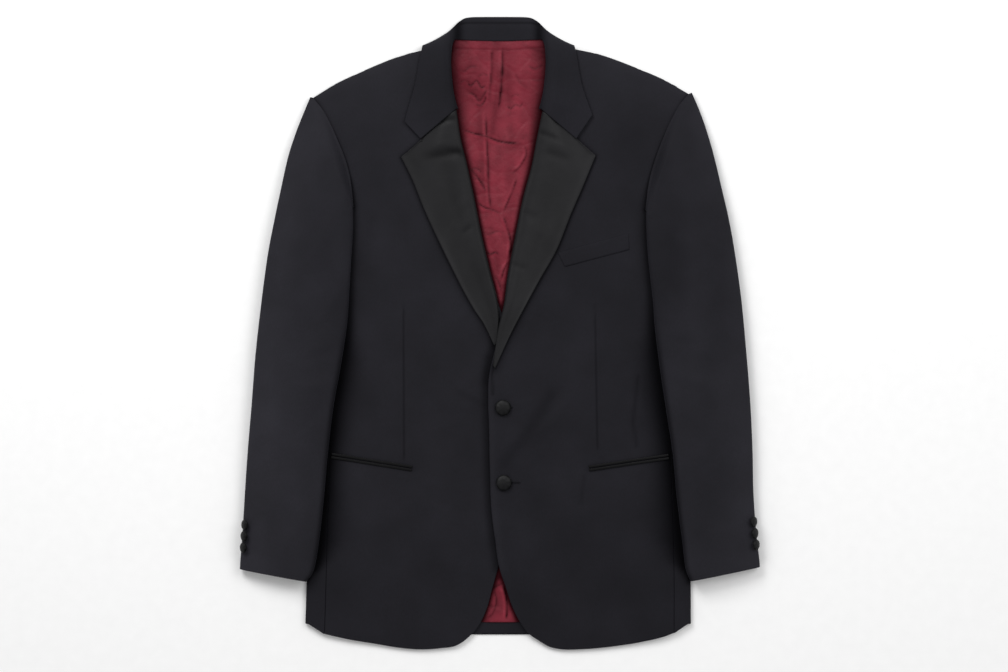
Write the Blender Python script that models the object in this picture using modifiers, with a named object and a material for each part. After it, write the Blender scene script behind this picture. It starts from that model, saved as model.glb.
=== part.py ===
"""A tuxedo jacket laid flat on its back, buttoned, with both sleeves down its sides.

+X is to the right as the front is seen, +Y runs from the hem to the collar, and +Z is up from the
table. The origin lies under the middle of the jacket. The tables are in millimetres, and MM turns
them into metres. Left and right are the wearer's, so the right half has negative X.
"""

import math

import bpy
import numpy as np

MM = 0.001

# Cloth and the room left between pieces
WOOL = 1.5
FRONT_WALL = 2.4
SLEEVE_WALL = 2.0
LAPEL_WALL = 2.0
COLLAR_WALL = 2.2
LINING_WALL = 1.0
POCKET_WALL = 1.2
SEAM = 0.6
LAYER_GAP = 0.4
LAPEL_GAP = 0.9
UNDERARM_EASE = 2.6

# Heights of the outer faces above the table
BACK_TOP = WOOL
LINING_TOP = BACK_TOP + LAYER_GAP + LINING_WALL
FRONT_TOP = LINING_TOP + LAYER_GAP + FRONT_WALL + 0.2
OVERLAP_RISE = FRONT_WALL + LAYER_GAP + 0.1
SIDE_PUFF = 2.3
SIDE_TOP = FRONT_TOP + SIDE_PUFF
SHOULDER_PUFF = 2.8
SHOULDER_EDGE = BACK_TOP + LAYER_GAP + FRONT_WALL + 0.3
CHEST_PUFF = 1.6
NECK_LIFT = 3.0
COLLAR_LOWEST = 1.3
SLEEVE_CLEAR = 2.2

# Where each swelling starts and where it is full, across from the middle and up the jacket
SIDE_PUFF_ACROSS = (150.0, 222.0)
SIDE_PUFF_FADE_Y = (120.0, 250.0)
SHOULDER_PUFF_ACROSS = (90.0, 165.0)
SHOULDER_PUFF_Y = (190.0, 290.0)
CHEST_CENTRE = (128.0, 130.0)
CHEST_SPREAD = (62.0, 110.0)
OVERLAP_ACROSS = (27.0, 56.0)
OVERLAP_FADE_Y = (30.0, 110.0)
NECK_LIFT_ACROSS = (102.0, 152.0)
NECK_LIFT_Y = (302.0, 360.0)
NECK_LIFT_LAYER = 8.0
SHOULDER_ROUND = 14.0

# Soft folds on the fronts: both ends of each ridge, its half width and its height
FRONT_FOLDS = {
    "right": [(-18.0, -101.0, -88.0, -84.0, 13.0, 0.9), (-150.0, 96.0, -178.0, 30.0, 16.0, 1.0)],
    "left": [
        (90.0, -105.0, 20.0, -142.0, 15.0, 1.5),
        (78.0, -137.0, 24.0, -172.0, 12.0, 0.9),
        (112.0, -188.0, 104.0, -250.0, 15.0, 0.8),
        (152.0, 84.0, 176.0, 20.0, 16.0, 1.0),
    ],
}

COLLAR_CENTRE = -2.2
SIDE_UNDER_X = 198.0
ROLL_INSET = 3.0
ROLL_PASSAGE = 30.0
BACK_HEM_Y = -391.6
BACK_NECK_Y = 385.0
BACK_NECK_HALF = 34.0
NAPE_DIP = 1.5
BACK_TOP_BAND = 0.88
BACK_UNDERARM_Y = 118.0
LINING_HEM_Y = -375.5
LINING_INSET = 9.0
LINING_SIDE_YS = (-60.0, 110.0)
LINING_SHOULDER_DROP = 19.0
LINING_NECK = [(-66.0, 364.0), (-57.0, 379.5), (-2.2, 378.5), (54.0, 379.5), (63.0, 364.0)]

SIDES = {"right": -1, "left": 1}

# The closed front edge, from the cutaway corner of the hem up to the neck, as x and y
FRONT_EDGE = {
    "right": [
        (-48.2, -400.7), (-38.5, -392.5), (-26.1, -376.7), (-17.0, -356.5), (-9.9, -330.5), (-2.3, -304.0),
        (8.0, -272.0), (17.0, -225.0), (22.0, -150.0), (23.0, -80.0), (20.0, -30.0), (12.0, 5.0),
        (1.8, 28.3), (-11.8, 77.7), (-23.5, 127.1), (-32.6, 173.9), (-42.2, 218.1), (-50.8, 251.9),
        (-57.3, 288.3), (-62.1, 319.5), (-64.6, 350.7), (-64.0, 378.0),
    ],
    "left": [
        (54.0, -401.6), (37.6, -390.1), (24.6, -372.6), (15.5, -354.0), (7.5, -330.0), (-1.0, -304.0),
        (-6.5, -268.0), (-10.8, -235.0), (-13.2, -181.0), (-14.6, -120.0), (-15.6, -80.0), (-14.0, -52.0),
        (-9.0, -30.0), (-1.4, 11.4), (3.5, 50.0), (13.8, 99.1), (29.0, 173.9), (40.7, 218.1),
        (47.3, 251.9), (54.5, 288.3), (60.6, 319.5), (62.6, 350.7), (62.0, 378.0),
    ],
}
ROLL_STARTS_Y = {"right": 44.0, "left": -20.0}

# The hem of each front, from its cutaway corner to the side seam, with x as a distance from the middle
HEM = {
    "right": [
        (48.2, -400.7), (56.0, -405.3), (76.2, -409.0), (102.8, -410.7), (130.0, -408.6), (162.6, -403.3),
        (193.8, -398.1), (228.0, -390.4),
    ],
    "left": [
        (54.0, -401.6), (64.0, -407.2), (77.2, -410.2), (106.5, -410.4), (143.5, -407.2), (183.2, -401.0),
        (218.3, -392.1), (226.0, -389.0),
    ],
}

# The shoulder seam line from the neck to the shoulder point
SHOULDER = {
    "right": [(64.0, 378.0), (95.0, 370.6), (130.1, 361.1), (182.1, 340.3), (219.8, 322.1), (244.2, 306.6)],
    "left": [(62.0, 378.0), (92.0, 371.4), (120.8, 365.6), (181.9, 344.2), (218.3, 328.1), (246.2, 311.8)],
}

# The armhole seam, from the underarm to the shoulder point
ARMHOLE = {
    "right": [
        (190.5, 164.8), (193.8, 192.1), (200.3, 220.7), (212.4, 251.9), (224.2, 277.9), (236.6, 298.4),
        (244.2, 306.6),
    ],
    "left": [
        (188.9, 161.0), (193.2, 192.1), (200.8, 220.7), (210.5, 248.0), (224.8, 280.5), (237.6, 302.4),
        (246.2, 311.8),
    ],
}

# The seam between front and side panel, from the hem up into the hollow of the armhole
SIDE_SEAM = [(226.0, -321.0), (222.0, -160.0), (219.0, -60.0), (221.0, 40.0), (222.0, 128.0), (205.0, 146.0)]

# The fold at the side of the body, then the hollow of the armhole, as the body's reach at each height
SIDE_FOLD = {
    "y": [-377.3, -321.0, -250.0, -160.0, -60.0, 40.0, 112.0, 118.0, 129.0, 146.0, 165.0],
    "right": [253.6, 251.5, 248.0, 243.0, 239.0, 245.0, 251.0, 240.0, 222.0, 205.0, 190.5],
    "left": [248.4, 247.8, 246.0, 242.0, 239.0, 245.0, 251.0, 240.0, 222.0, 205.0, 188.9],
}
UNDERARM_Y = 112.0
HEM_CORNER_Y = -377.3
SIDE_FOLD_TURNS = (90.0, 52.0, 18.0, -18.0, -52.0, -90.0)

# Each section of a sleeve: its outer end's x and y, its inner end's x and y, and how high it stands
SLEEVE = {
    "right": [
        (246.8, 307.6, 190.9, 164.2, 9.6),
        (257.0, 283.0, 190.7, 151.0, 13.5),
        (266.5, 258.0, 190.8, 138.0, 17.5),
        (275.8, 228.0, 191.4, 122.0, 21.5),
        (284.8, 187.0, 192.8, 102.0, 24.5),
        (294.0, 143.0, 194.4, 75.0, 26.5),
        (302.0, 100.0, 196.2, 44.0, 27.0),
        (309.5, 44.0, 199.0, 8.0, 27.5),
        (317.3, -25.0, 207.0, -44.0, 28.0),
        (322.5, -91.3, 216.6, -98.0, 27.0),
        (327.7, -152.4, 223.4, -156.0, 25.0),
        (331.4, -207.0, 228.6, -214.0, 23.5),
        (334.8, -262.0, 235.2, -272.0, 22.0),
        (337.2, -292.0, 241.5, -306.0, 21.0),
        (338.1, -305.8, 251.0, -321.4, 20.5),
    ],
    "left": [
        (249.2, 313.5, 189.4, 160.4, 9.6),
        (258.0, 293.0, 189.4, 147.0, 13.5),
        (267.0, 268.0, 189.9, 134.0, 17.5),
        (277.0, 234.0, 190.6, 119.0, 21.5),
        (287.5, 190.0, 192.2, 98.0, 24.5),
        (297.3, 147.0, 195.0, 72.0, 26.5),
        (305.2, 102.0, 198.4, 42.0, 27.0),
        (313.2, 44.0, 201.0, 6.0, 27.5),
        (319.7, -25.0, 207.5, -46.0, 28.0),
        (324.9, -91.3, 215.6, -100.0, 27.0),
        (327.8, -152.4, 224.0, -156.0, 25.0),
        (329.0, -207.0, 229.4, -214.0, 23.5),
        (333.0, -262.0, 236.4, -270.0, 22.0),
        (336.4, -290.0, 240.6, -304.0, 21.0),
        (337.6, -303.0, 246.9, -320.9, 20.5),
    ],
}
SLEEVE_OUTER_SHARE = 0.42
SLEEVE_INNER_RISE = 7.0
SLEEVE_BAND = 2.2
SLEEVE_CROWN = 0.72
SLEEVE_BOW_ROWS = 6
SLEEVE_LEAST_ROOM = 1.0
FLOOR_RAMP = (-42.0, -9.0)
FLOOR_MARGIN = 22.0
FLOOR_FADE = 52.0
EASE_FADE = (50.0, 120.0)

# Soft folds on the top sleeves: both ends of each ridge, its half width and its height
SLEEVE_FOLDS = {
    "right": [
        (-268.0, 206.0, -289.0, 60.0, 17.0, 1.3),
        (-222.0, 8.0, -262.0, -58.0, 15.0, 1.5),
        (-226.0, -56.0, -282.0, -112.0, 15.0, 1.2),
        (-262.0, -176.0, -306.0, -236.0, 16.0, 1.0),
    ],
    "left": [
        (270.0, 210.0, 286.0, 92.0, 16.0, 1.3),
        (220.0, 24.0, 264.0, -34.0, 15.0, 1.4),
        (228.0, -38.0, 286.0, -84.0, 14.0, 1.3),
        (250.0, -150.0, 298.0, -196.0, 16.0, 0.9),
    ],
}

# Each section of a lapel: a point on its roll line and one on its outer edge. The second row is its point.
LAPEL = {
    "right": [
        (56.4, 290.4, 103.0, 250.6),
        (51.0, 254.0, 128.8, 229.5),
        (42.4, 218.1, 113.8, 199.4),
        (32.8, 173.9, 98.0, 160.0),
        (23.5, 127.1, 76.6, 113.6),
        (11.8, 77.7, 51.0, 62.0),
        (4.0, 46.0, 34.4, 32.4),
        (1.9, 20.0, 21.5, 11.5),
        (7.4, -6.4, 9.6, -7.6),
    ],
    "left": [
        (54.6, 288.4, 98.2, 254.2),
        (47.6, 254.0, 124.3, 231.5),
        (40.7, 218.1, 108.6, 193.4),
        (29.0, 173.9, 91.8, 154.6),
        (19.0, 125.0, 74.0, 110.0),
        (8.6, 76.0, 52.6, 72.0),
        (1.8, 40.0, 35.0, 40.0),
        (-3.2, 4.0, 14.0, 0.0),
        (-8.2, -36.0, -3.4, -40.6),
    ],
}
LAPEL_POINT_ROW = 1
LAPEL_ROLL = 3.6
LAPEL_ROLL_SHARE = 0.45
LAPEL_ROLL_LEAN = 0.6
LAPEL_LIP_DROP = 0.2
LAPEL_FULL_WIDTH = 40.0
LAPEL_WRAP = (12.0, 40.0)

# Each section of the collar, from the gorge seam to the middle of the back. Three points and two heights:
# the lip at the neck seam, the fold, the free edge, and the heights just inside and just past the fold.
COLLAR_COLUMNS = (
    "lip_x", "lip_y", "lip_z", "fold_x", "fold_y", "fold_z", "edge_x", "edge_y", "edge_z", "in_z", "out_z",
)
COLLAR = [
    (52.6, 291.6, 6.0, 54.0, 292.8, 9.2, 101.2, 253.4, 11.0, 7.0, 13.0),
    (55.8, 303.0, 6.0, 57.2, 304.0, 9.2, 122.2, 279.6, 11.2, 7.0, 13.4),
    (59.0, 320.0, 6.2, 60.6, 320.0, 9.4, 109.0, 322.0, 11.8, 7.4, 13.8),
    (61.4, 348.0, 7.2, 63.2, 348.0, 10.0, 102.8, 355.0, 12.4, 8.4, 14.0),
    (60.4, 371.0, 8.4, 63.4, 374.0, 10.4, 99.8, 369.6, 11.6, 9.4, 13.0),
    (57.0, 381.6, 8.8, 61.6, 388.0, 9.0, 98.0, 374.4, 6.2, 9.6, 9.2),
    (52.0, 382.0, 8.6, 57.0, 398.0, 7.2, 91.0, 373.0, 1.3, 8.9, 4.8),
    (43.0, 381.8, 8.2, 48.6, 404.6, 5.8, 66.0, 366.0, 1.3, 8.1, 2.0),
    (30.0, 381.2, 7.7, 34.0, 407.4, 4.7, 42.0, 366.5, 1.3, 7.7, 1.3),
    (0.0, 380.6, 7.5, 0.0, 407.8, 4.4, 0.0, 367.0, 1.3, 7.5, 1.3),
]
COLLAR_POINT_ROW = 1
COLLAR_INSIDE_SHARE = 0.75
COLLAR_PAST_SHARE = 0.16
COLLAR_TIP_Y = {"right": 275.3, "left": 284.0}

# The slanted breast pocket's welt: lower left, lower right, upper left and upper right corners
WELT_CORNERS = ((84.4, 87.0), (168.0, 109.0), (75.5, 105.5), (166.9, 130.6))

# The hip pockets run from the side to the front and slope down
HIP_POCKET = {
    "right": ((219.5, -158.3), (114.5, -175.2)),
    "left": ((219.5, -159.6), (115.6, -175.2)),
}
JET_DEPTH = 3.7
JET_SLIT = 0.5

BUTTON_ACROSS = 20.5
BUTTON_DEPTH = 6.0
FRONT_BUTTONS = {"button_upper": (3.8, -96.0), "button_lower": (5.1, -193.5)}
CUFF_BUTTON_ACROSS = 13.6
CUFF_BUTTON_DEPTH = 4.6
CUFF_BUTTON_TILT = math.radians(52.0)
CUFF_BUTTONS = {
    "right": ((329.6, -247.6), (330.5, -262.2), (331.4, -277.2)),
    "left": ((327.4, -243.6), (329.0, -258.6), (330.6, -273.4)),
}
CUFF_BUTTON_Z = 19.1
DOME_ANGLES = (28.0, 54.0, 76.0, 90.0)
DOME_BASE = 0.42
BUTTON_BACK = 0.8
BUTTON_SIDES = 14
AXIS_OFFSET = 0.001

COLOURS = {
    "wool": ((0.0185, 0.0178, 0.0225), 0.85),
    "satin": ((0.0210, 0.0215, 0.0225), 0.42),
    "lining": ((0.1650, 0.0260, 0.0400), 0.50),
    "covered_button": ((0.0190, 0.0185, 0.0210), 0.60),
}


def smooth(low, high, value):
    """0 below low and 1 above high, with an even passage between."""
    share = min(max((value - low) / (high - low), 0.0), 1.0)
    return share * share * (3.0 - 2.0 * share)


def hermite(knots, points, slopes, at):
    k = min(max(int(np.searchsorted(knots, at, side="right")) - 1, 0), len(knots) - 2)
    step = knots[k + 1] - knots[k]
    t = (at - knots[k]) / step
    return (
        (2 * t**3 - 3 * t**2 + 1) * points[k]
        + (t**3 - 2 * t**2 + t) * step * slopes[k]
        + (3 * t**2 - 2 * t**3) * points[k + 1]
        + (t**3 - t**2) * step * slopes[k + 1]
    )


def joined(points, knots, corners):
    """Smooth runs through the points, from one corner to the next, as a function of the knots' value."""
    cuts = [0, *corners, len(points) - 1]
    runs = []
    for first, last in zip(cuts, cuts[1:]):
        run = slice(first, last + 1)
        runs.append((knots[run], points[run], np.gradient(points[run], knots[run], axis=0)))

    def at(value):
        for run_knots, run_points, slopes in runs[:-1]:
            if value <= run_knots[-1]:
                return hermite(run_knots, run_points, slopes, value)
        return hermite(*runs[-1], min(value, knots[-1]))

    return at


def curve(points, corners=()):
    """A smooth curve through the points, as a function of the share of its length."""
    points = np.array(points, float)
    knots = np.concatenate([[0.0], np.cumsum(np.linalg.norm(np.diff(points, axis=0), axis=1))])
    at = joined(points, knots, corners)
    return lambda share: at(share * knots[-1])


def share_of(points, index):
    """The share of a curve's length at one of its points."""
    lengths = np.linalg.norm(np.diff(np.array(points, float), axis=0), axis=1)
    return float(lengths[:index].sum() / lengths.sum())


def through(rows, corners=()):
    """A smooth curve through the rows of a table, as a function of the row's number."""
    rows = np.array(rows, float)
    return joined(rows, np.arange(len(rows), dtype=float), corners)


def patch(bottom, top, start, end):
    """The flat patch between four curves, each from the patch's start or bottom corner."""

    def at(u, v):
        corners = (
            (1 - u) * (1 - v) * start(0) + (1 - u) * v * start(1) + u * (1 - v) * end(0) + u * v * end(1)
        )
        return (1 - v) * bottom(u) + v * top(u) + (1 - u) * start(v) + u * end(v) - corners

    return at


def steps(*runs):
    """Shares from 0 to 1: each run gives where it ends and how many equal steps reach it."""
    shares = [0.0]
    for end, count in runs:
        first = shares[-1]
        shares += [first + (end - first) * (i + 1) / count for i in range(count)]
    return shares


def neck_lift(x, y, layer=0):
    """The rise of the layers over the fall of the collar, which lies under the back of the neck."""
    spread = NECK_LIFT_LAYER * layer
    across = 1.0 - smooth(*NECK_LIFT_ACROSS, abs(x - COLLAR_CENTRE) - spread)
    return NECK_LIFT * smooth(*NECK_LIFT_Y, y + spread) * across


def fold_height(folds, x, y):
    """The height of soft ridges at a place. Each ridge fades towards both of its ends."""
    height = 0.0
    for start_x, start_y, end_x, end_y, half_width, rise in folds:
        along_x, along_y = end_x - start_x, end_y - start_y
        length = math.hypot(along_x, along_y)
        share = ((x - start_x) * along_x + (y - start_y) * along_y) / length**2
        aside = ((x - start_x) * along_y - (y - start_y) * along_x) / length
        fade = smooth(-0.15, 0.3, share) * (1.0 - smooth(0.7, 1.15, share))
        height += rise * fade * math.exp(-((aside / half_width) ** 2))
    return height


def front_height(side, x, y):
    """The height of a front's outer face."""
    out = abs(x)
    lift = neck_lift(x, y, 2)
    height = FRONT_TOP + lift + fold_height(FRONT_FOLDS[side], x, y)
    height += SIDE_PUFF * smooth(*SIDE_PUFF_ACROSS, out) * (1.0 - smooth(*SIDE_PUFF_FADE_Y, y))
    height += SHOULDER_PUFF * smooth(*SHOULDER_PUFF_Y, y) * smooth(*SHOULDER_PUFF_ACROSS, out)
    chest_x = (out - CHEST_CENTRE[0]) / CHEST_SPREAD[0]
    chest_y = (y - CHEST_CENTRE[1]) / CHEST_SPREAD[1]
    height += CHEST_PUFF * math.exp(-(chest_x**2) - chest_y**2)
    if side == "left":
        height += OVERLAP_RISE * (1.0 - smooth(*OVERLAP_ACROSS, x)) * (1.0 - smooth(*OVERLAP_FADE_Y, y))
    seam_x, seam_y = zip(*SHOULDER[side])
    under_seam = max(np.interp(out, seam_x, seam_y) - y, 0.0)
    rounding = 1.0 - min(under_seam / SHOULDER_ROUND, 1.0)
    edge = SHOULDER_EDGE + lift
    return edge + (height - edge) * math.sqrt(1.0 - rounding**2)


def side_edge(side):
    """A front's edge from the hem to the shoulder point, with the shares of its corners."""
    points = [HEM[side][-1], *SIDE_SEAM, *ARMHOLE[side]]
    corners = (len(SIDE_SEAM) - 1, len(SIDE_SEAM) + 1)
    return curve(signed(side, points), corners), [share_of(points, corner) for corner in corners]


def signed(side, points):
    """Points given by their distance from the middle, put on their own side of the jacket."""
    return [(SIDES[side] * x, y) for x, y in points]


def front_edge(side):
    """The front's own edge, drawn back where the lapel and the collar roll round it."""
    inset = SIDES[side] * ROLL_INSET
    start = ROLL_STARTS_Y[side]
    return [(x + inset * smooth(start, start + ROLL_PASSAGE, y), y) for x, y in FRONT_EDGE[side]]


def front_patch(side):
    return patch(
        curve(signed(side, HEM[side])),
        curve([front_edge(side)[-1], *signed(side, SHOULDER[side][1:])]),
        curve(front_edge(side)),
        side_edge(side)[0],
    )


def collection(name):
    made = bpy.data.collections.new(name)
    bpy.context.scene.collection.children.link(made)
    return made


def material(name):
    colour, roughness = COLOURS[name]
    made = bpy.data.materials.new(name)
    made.use_nodes = True
    surface = made.node_tree.nodes["Principled BSDF"]
    surface.inputs["Base Color"].default_value = (*colour, 1.0)
    surface.inputs["Roughness"].default_value = roughness
    surface.inputs["Metallic"].default_value = 0.0
    return made


def grid_object(name, grid, cloth, upward=True):
    """A mesh through a grid of points in millimetres. Its first half faces +Z when upward."""
    rows, columns = len(grid), len(grid[0])
    points = [tuple(value * MM for value in point) for row in grid for point in row]
    faces = [
        (r * columns + c, r * columns + c + 1, (r + 1) * columns + c + 1, (r + 1) * columns + c)
        for r in range(rows - 1)
        for c in range(columns - 1)
    ]
    corner, along, up = (np.array(grid[i][j]) for i, j in ((0, 0), (0, columns // 2), (rows - 1, 0)))
    if (np.cross(along - corner, up - corner)[2] > 0) != upward:
        faces = [face[::-1] for face in faces]
    mesh = bpy.data.meshes.new(name)
    mesh.from_pydata(points, [], faces)
    mesh.shade_smooth()
    made = bpy.data.objects.new(name, mesh)
    made.data.materials.append(material(cloth))
    return made


def add_cloth(jacket, name, grid, wall, cloth, upward=True, offset=-1.0):
    """A sheet of cloth. Its wall lies behind the grid, or half on each side when the offset is 0."""
    made = grid_object(name, grid, cloth, upward)
    shell = made.modifiers.new("Wall", "SOLIDIFY")
    shell.thickness = wall * MM
    shell.offset = offset
    shell.use_even_offset = True
    jacket.objects.link(made)


def add_back(jacket, side):
    """Half of the back, on the table, from the centre seam to the side seam and the armhole."""
    sign = SIDES[side]
    seam = sign * SEAM / 2
    edge_x = SIDE_UNDER_X - SEAM
    outer = [(edge_x, BACK_HEM_Y), (edge_x, BACK_UNDERARM_Y), *ARMHOLE[side]]
    hollow, underarm = (share_of(outer, corner) for corner in (1, 2))
    nape = (COLLAR_CENTRE + seam, BACK_NECK_Y - NAPE_DIP)
    area = patch(
        curve([(seam, BACK_HEM_Y), (sign * edge_x, BACK_HEM_Y)]),
        curve([nape, (sign * BACK_NECK_HALF, BACK_NECK_Y), *signed(side, SHOULDER[side])]),
        curve([(seam, BACK_HEM_Y), nape]),
        curve(signed(side, outer), corners=(1, 2)),
    )
    grid = [
        [(x, y, BACK_TOP + neck_lift(x, y)) for x, y in (area(u, v) for u in steps((1.0, 9)))]
        for v in steps((hollow, 4), (underarm, 1), (BACK_TOP_BAND, 3), (1.0, 7))
    ]
    add_cloth(jacket, f"back_{side}", grid, WOOL, "wool")


def add_back_lining(jacket):
    """The lining of the back, inside the fronts."""

    def outer(side):
        reach = SIDE_UNDER_X - LINING_INSET
        hole = [(x - LINING_INSET, y - LINING_INSET / 2) for x, y in ARMHOLE[side][:5]]
        straight = [(reach, y) for y in (LINING_HEM_Y, *LINING_SIDE_YS)]
        return curve(signed(side, straight + hole))

    def shoulder(side):
        return signed(side, [(x, y - LINING_SHOULDER_DROP) for x, y in SHOULDER[side][2:4]])

    right, left = outer("right"), outer("left")
    top = [right(1), *shoulder("right")[::-1], *LINING_NECK, *shoulder("left"), left(1)]
    area = patch(curve([right(0), left(0)]), curve(top), right, left)
    grid = [
        [(x, y, LINING_TOP + neck_lift(x, y, 1)) for x, y in (area(u, v) for u in steps((1.0, 20)))]
        for v in steps((0.7, 4), (1.0, 8))
    ]
    add_cloth(jacket, "back_lining", grid, LINING_WALL, "lining")


def add_front(jacket, side):
    """A front, from its closed edge to the side seam, the armhole and the shoulder."""
    area = front_patch(side)
    hollow, underarm = side_edge(side)[1]
    grid = [
        [(x, y, front_height(side, x, y)) for x, y in (area(u, v) for u in steps((0.3, 5), (1.0, 9)))]
        for v in steps((0.1, 5), (hollow, 12), (underarm, 2), (0.94, 6), (1.0, 4))
    ]
    add_cloth(jacket, f"front_{side}", grid, FRONT_WALL, "wool")


def add_side(jacket, side):
    """The side panel, which runs from the front round the side and under to the back."""
    sign = SIDES[side]
    radius = SIDE_TOP / 2
    seam = curve([HEM[side][-1], *SIDE_SEAM[:-1]])
    grid = []
    for v in steps((1.0, 14)):
        seam_x, seam_y = seam(v)
        y = HEM_CORNER_Y + (UNDERARM_Y - HEM_CORNER_Y) * v
        fold_x = np.interp(y, SIDE_FOLD["y"], SIDE_FOLD[side])
        row = [(sign * (seam_x + SEAM), seam_y, SIDE_TOP)]
        for turn in map(math.radians, SIDE_FOLD_TURNS):
            out = fold_x - radius + radius * math.cos(turn)
            row.append((sign * out, y, radius + radius * math.sin(turn)))
        row.append((sign * SIDE_UNDER_X, BACK_HEM_Y + (BACK_UNDERARM_Y - BACK_HEM_Y) * v, 0.0))
        grid.append(row)
    add_cloth(jacket, f"side_{side}", grid, FRONT_WALL, "wool")


def sleeve_floor(side, out, y):
    """How high a sleeve's underside is held: on the table beside the body, and clear of the body over it."""
    reach = max(np.interp(place, SIDE_FOLD["y"], SIDE_FOLD[side]) for place in (y, y - FLOOR_MARGIN))
    inside = smooth(*FLOOR_RAMP, reach - out)
    underarm = ARMHOLE[side][0][1]
    return (SIDE_TOP + SLEEVE_CLEAR) * inside * (1.0 - smooth(underarm, underarm + FLOOR_FADE, y))


def sleeve_section(side, rows, seam, number, shares):
    """One section of a sleeve, from its outer end to its inner end: (x, y, bottom, top) at each share."""
    outer_x, outer_y, inner_x, inner_y, height = rows(number)
    fade = 1.0 - smooth(0.0, SLEEVE_BOW_ROWS, number)
    inner_floor = sleeve_floor(side, inner_x, inner_y)
    section = []
    for share in shares:
        across = 0.5 * (1.0 - math.cos(math.pi * share))
        bow = seam(across) - (seam(0) + (seam(1) - seam(0)) * across)
        out = outer_x + (inner_x - outer_x) * across + bow[0] * fade
        y = outer_y + (inner_y - outer_y) * across + bow[1] * fade
        floor = sleeve_floor(side, out, y)
        middle = height * SLEEVE_OUTER_SHARE * (1.0 - across) + (inner_floor + SLEEVE_INNER_RISE) * across
        if number < 1.0:
            flat = height / 2 + floor
            middle = flat + (middle - flat) * number
        crown = math.sin(math.pi * share) ** SLEEVE_CROWN
        rise = (height / 2 - SLEEVE_BAND) * crown + SLEEVE_BAND
        bottom = max(middle - rise, floor)
        top = max(middle + rise, bottom + 2 * SLEEVE_WALL + SLEEVE_LEAST_ROOM)
        x = SIDES[side] * out
        section.append((x, y, bottom, top + fold_height(SLEEVE_FOLDS[side], x, y) * crown))
    return section


def sleeve_sheet(section, upper):
    """The top or the under sheet's row of a section, turned in at both ends to meet the other sheet."""
    ends = []
    for x, y, bottom, top in (section[0], section[-1]):
        ends.append((x, y, (bottom + top) / 2 + (SEAM / 2 if upper else -SEAM / 2)))
    row = [(x, y, top if upper else bottom) for x, y, bottom, top in section]
    return [ends[0], *row, ends[1]]


def add_sleeve(jacket, side):
    """The top sleeve and the under sleeve, which meet at the outer and the inner edge."""
    rows = through(SLEEVE[side])
    underarm = ARMHOLE[side][0][1]
    fade_from, fade_to = (underarm + value for value in EASE_FADE)
    eased = [
        (x + SEAM + UNDERARM_EASE * (1.0 - smooth(fade_from, fade_to, y)), y)
        for x, y in ARMHOLE[side][::-1]
    ]
    shares = steps((0.16, 2), (0.84, 6), (1.0, 2))
    sections = [
        sleeve_section(side, rows, curve(eased), i / 2, shares) for i in range(2 * len(SLEEVE[side]) - 1)
    ]
    top = [sleeve_sheet(section, True) for section in sections]
    under = [sleeve_sheet(section, False) for section in sections]
    add_cloth(jacket, f"sleeve_top_{side}", top, SLEEVE_WALL, "wool")
    add_cloth(jacket, f"sleeve_under_{side}", under, SLEEVE_WALL, "wool", upward=False)


def add_lapel(jacket, side):
    """A satin-faced lapel on its front, rolled round the front's edge."""
    rolls = through([row[:2] for row in LAPEL[side]])
    edges = through([row[2:] for row in LAPEL[side]], corners=(LAPEL_POINT_ROW,))
    wrap_from, wrap_to = (ROLL_STARTS_Y[side] + value for value in LAPEL_WRAP)
    grid = []
    for number in [i / 2 for i in range(2 * len(LAPEL[side]) - 1)]:
        roll, edge = rolls(number), edges(number)
        size = min(1.0, float(np.linalg.norm(edge - roll)) / LAPEL_FULL_WIDTH)
        row = []
        for share in steps((0.12, 3), (0.35, 2), (1.0, 4)):
            x, y = (roll + (edge - roll) * share) * (SIDES[side], 1)
            lean = min(share / LAPEL_ROLL_SHARE, 1.0) ** LAPEL_ROLL_LEAN
            bulge = LAPEL_ROLL * size * math.sin(math.pi * lean)
            row.append((x, y, front_height(side, x, y) + LAPEL_GAP + LAPEL_WALL + bulge))
        x, y, height = row[0]
        drop = (LAPEL_WALL + FRONT_WALL) * smooth(wrap_from, wrap_to, y)
        grid.append([(x, y, height - LAPEL_LIP_DROP - drop), *row])
    add_cloth(jacket, f"lapel_{side}", grid, LAPEL_WALL, "satin")


def collar_rows():
    """Every section of the collar from the right gorge seam, round the back, to the left gorge seam."""
    rows = {}
    for side, sign in SIDES.items():
        half = []
        for number, values in enumerate(COLLAR):
            row = dict(zip(COLLAR_COLUMNS, values))
            if number == COLLAR_POINT_ROW:
                row["edge_y"] = COLLAR_TIP_Y[side]
            for name in ("lip_x", "fold_x", "edge_x"):
                row[name] = COLLAR_CENTRE + sign * row[name]
            half.append([row[name] for name in COLLAR_COLUMNS])
        rows[side] = half
    return rows["right"] + rows["left"][-2::-1]


def add_collar(jacket):
    """The collar: a stand inside the neck, the fold, and the fall on the fronts and behind the back."""
    table = collar_rows()
    last = len(table) - 1
    smoothed = through(table)
    cornered = through(table, corners=(COLLAR_POINT_ROW, last - COLLAR_POINT_ROW))
    grid = []
    for number in [i / 2 for i in range(2 * last + 1)]:
        row = dict(zip(COLLAR_COLUMNS, smoothed(number)))
        sharp = dict(zip(COLLAR_COLUMNS, cornered(number)))
        lip = np.array((row["lip_x"], row["lip_y"], row["lip_z"]))
        fold = np.array((row["fold_x"], row["fold_y"], row["fold_z"]))
        edge = np.array((sharp["edge_x"], sharp["edge_y"], row["edge_z"]))
        inside = lip + (fold - lip) * COLLAR_INSIDE_SHARE
        inside[2] = row["in_z"]
        past = fold + (edge - fold) * COLLAR_PAST_SHARE
        past[2] = row["out_z"]
        section = curve([lip, inside, fold, past, past * 0.5 + edge * 0.5, edge])
        points = [section(share) for share in steps((0.3, 3), (0.6, 3), (1.0, 4))]
        grid.append([(x, y, max(z, COLLAR_LOWEST)) for x, y, z in points])
    add_cloth(jacket, "collar", grid, COLLAR_WALL, "wool", offset=0.0)


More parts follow.
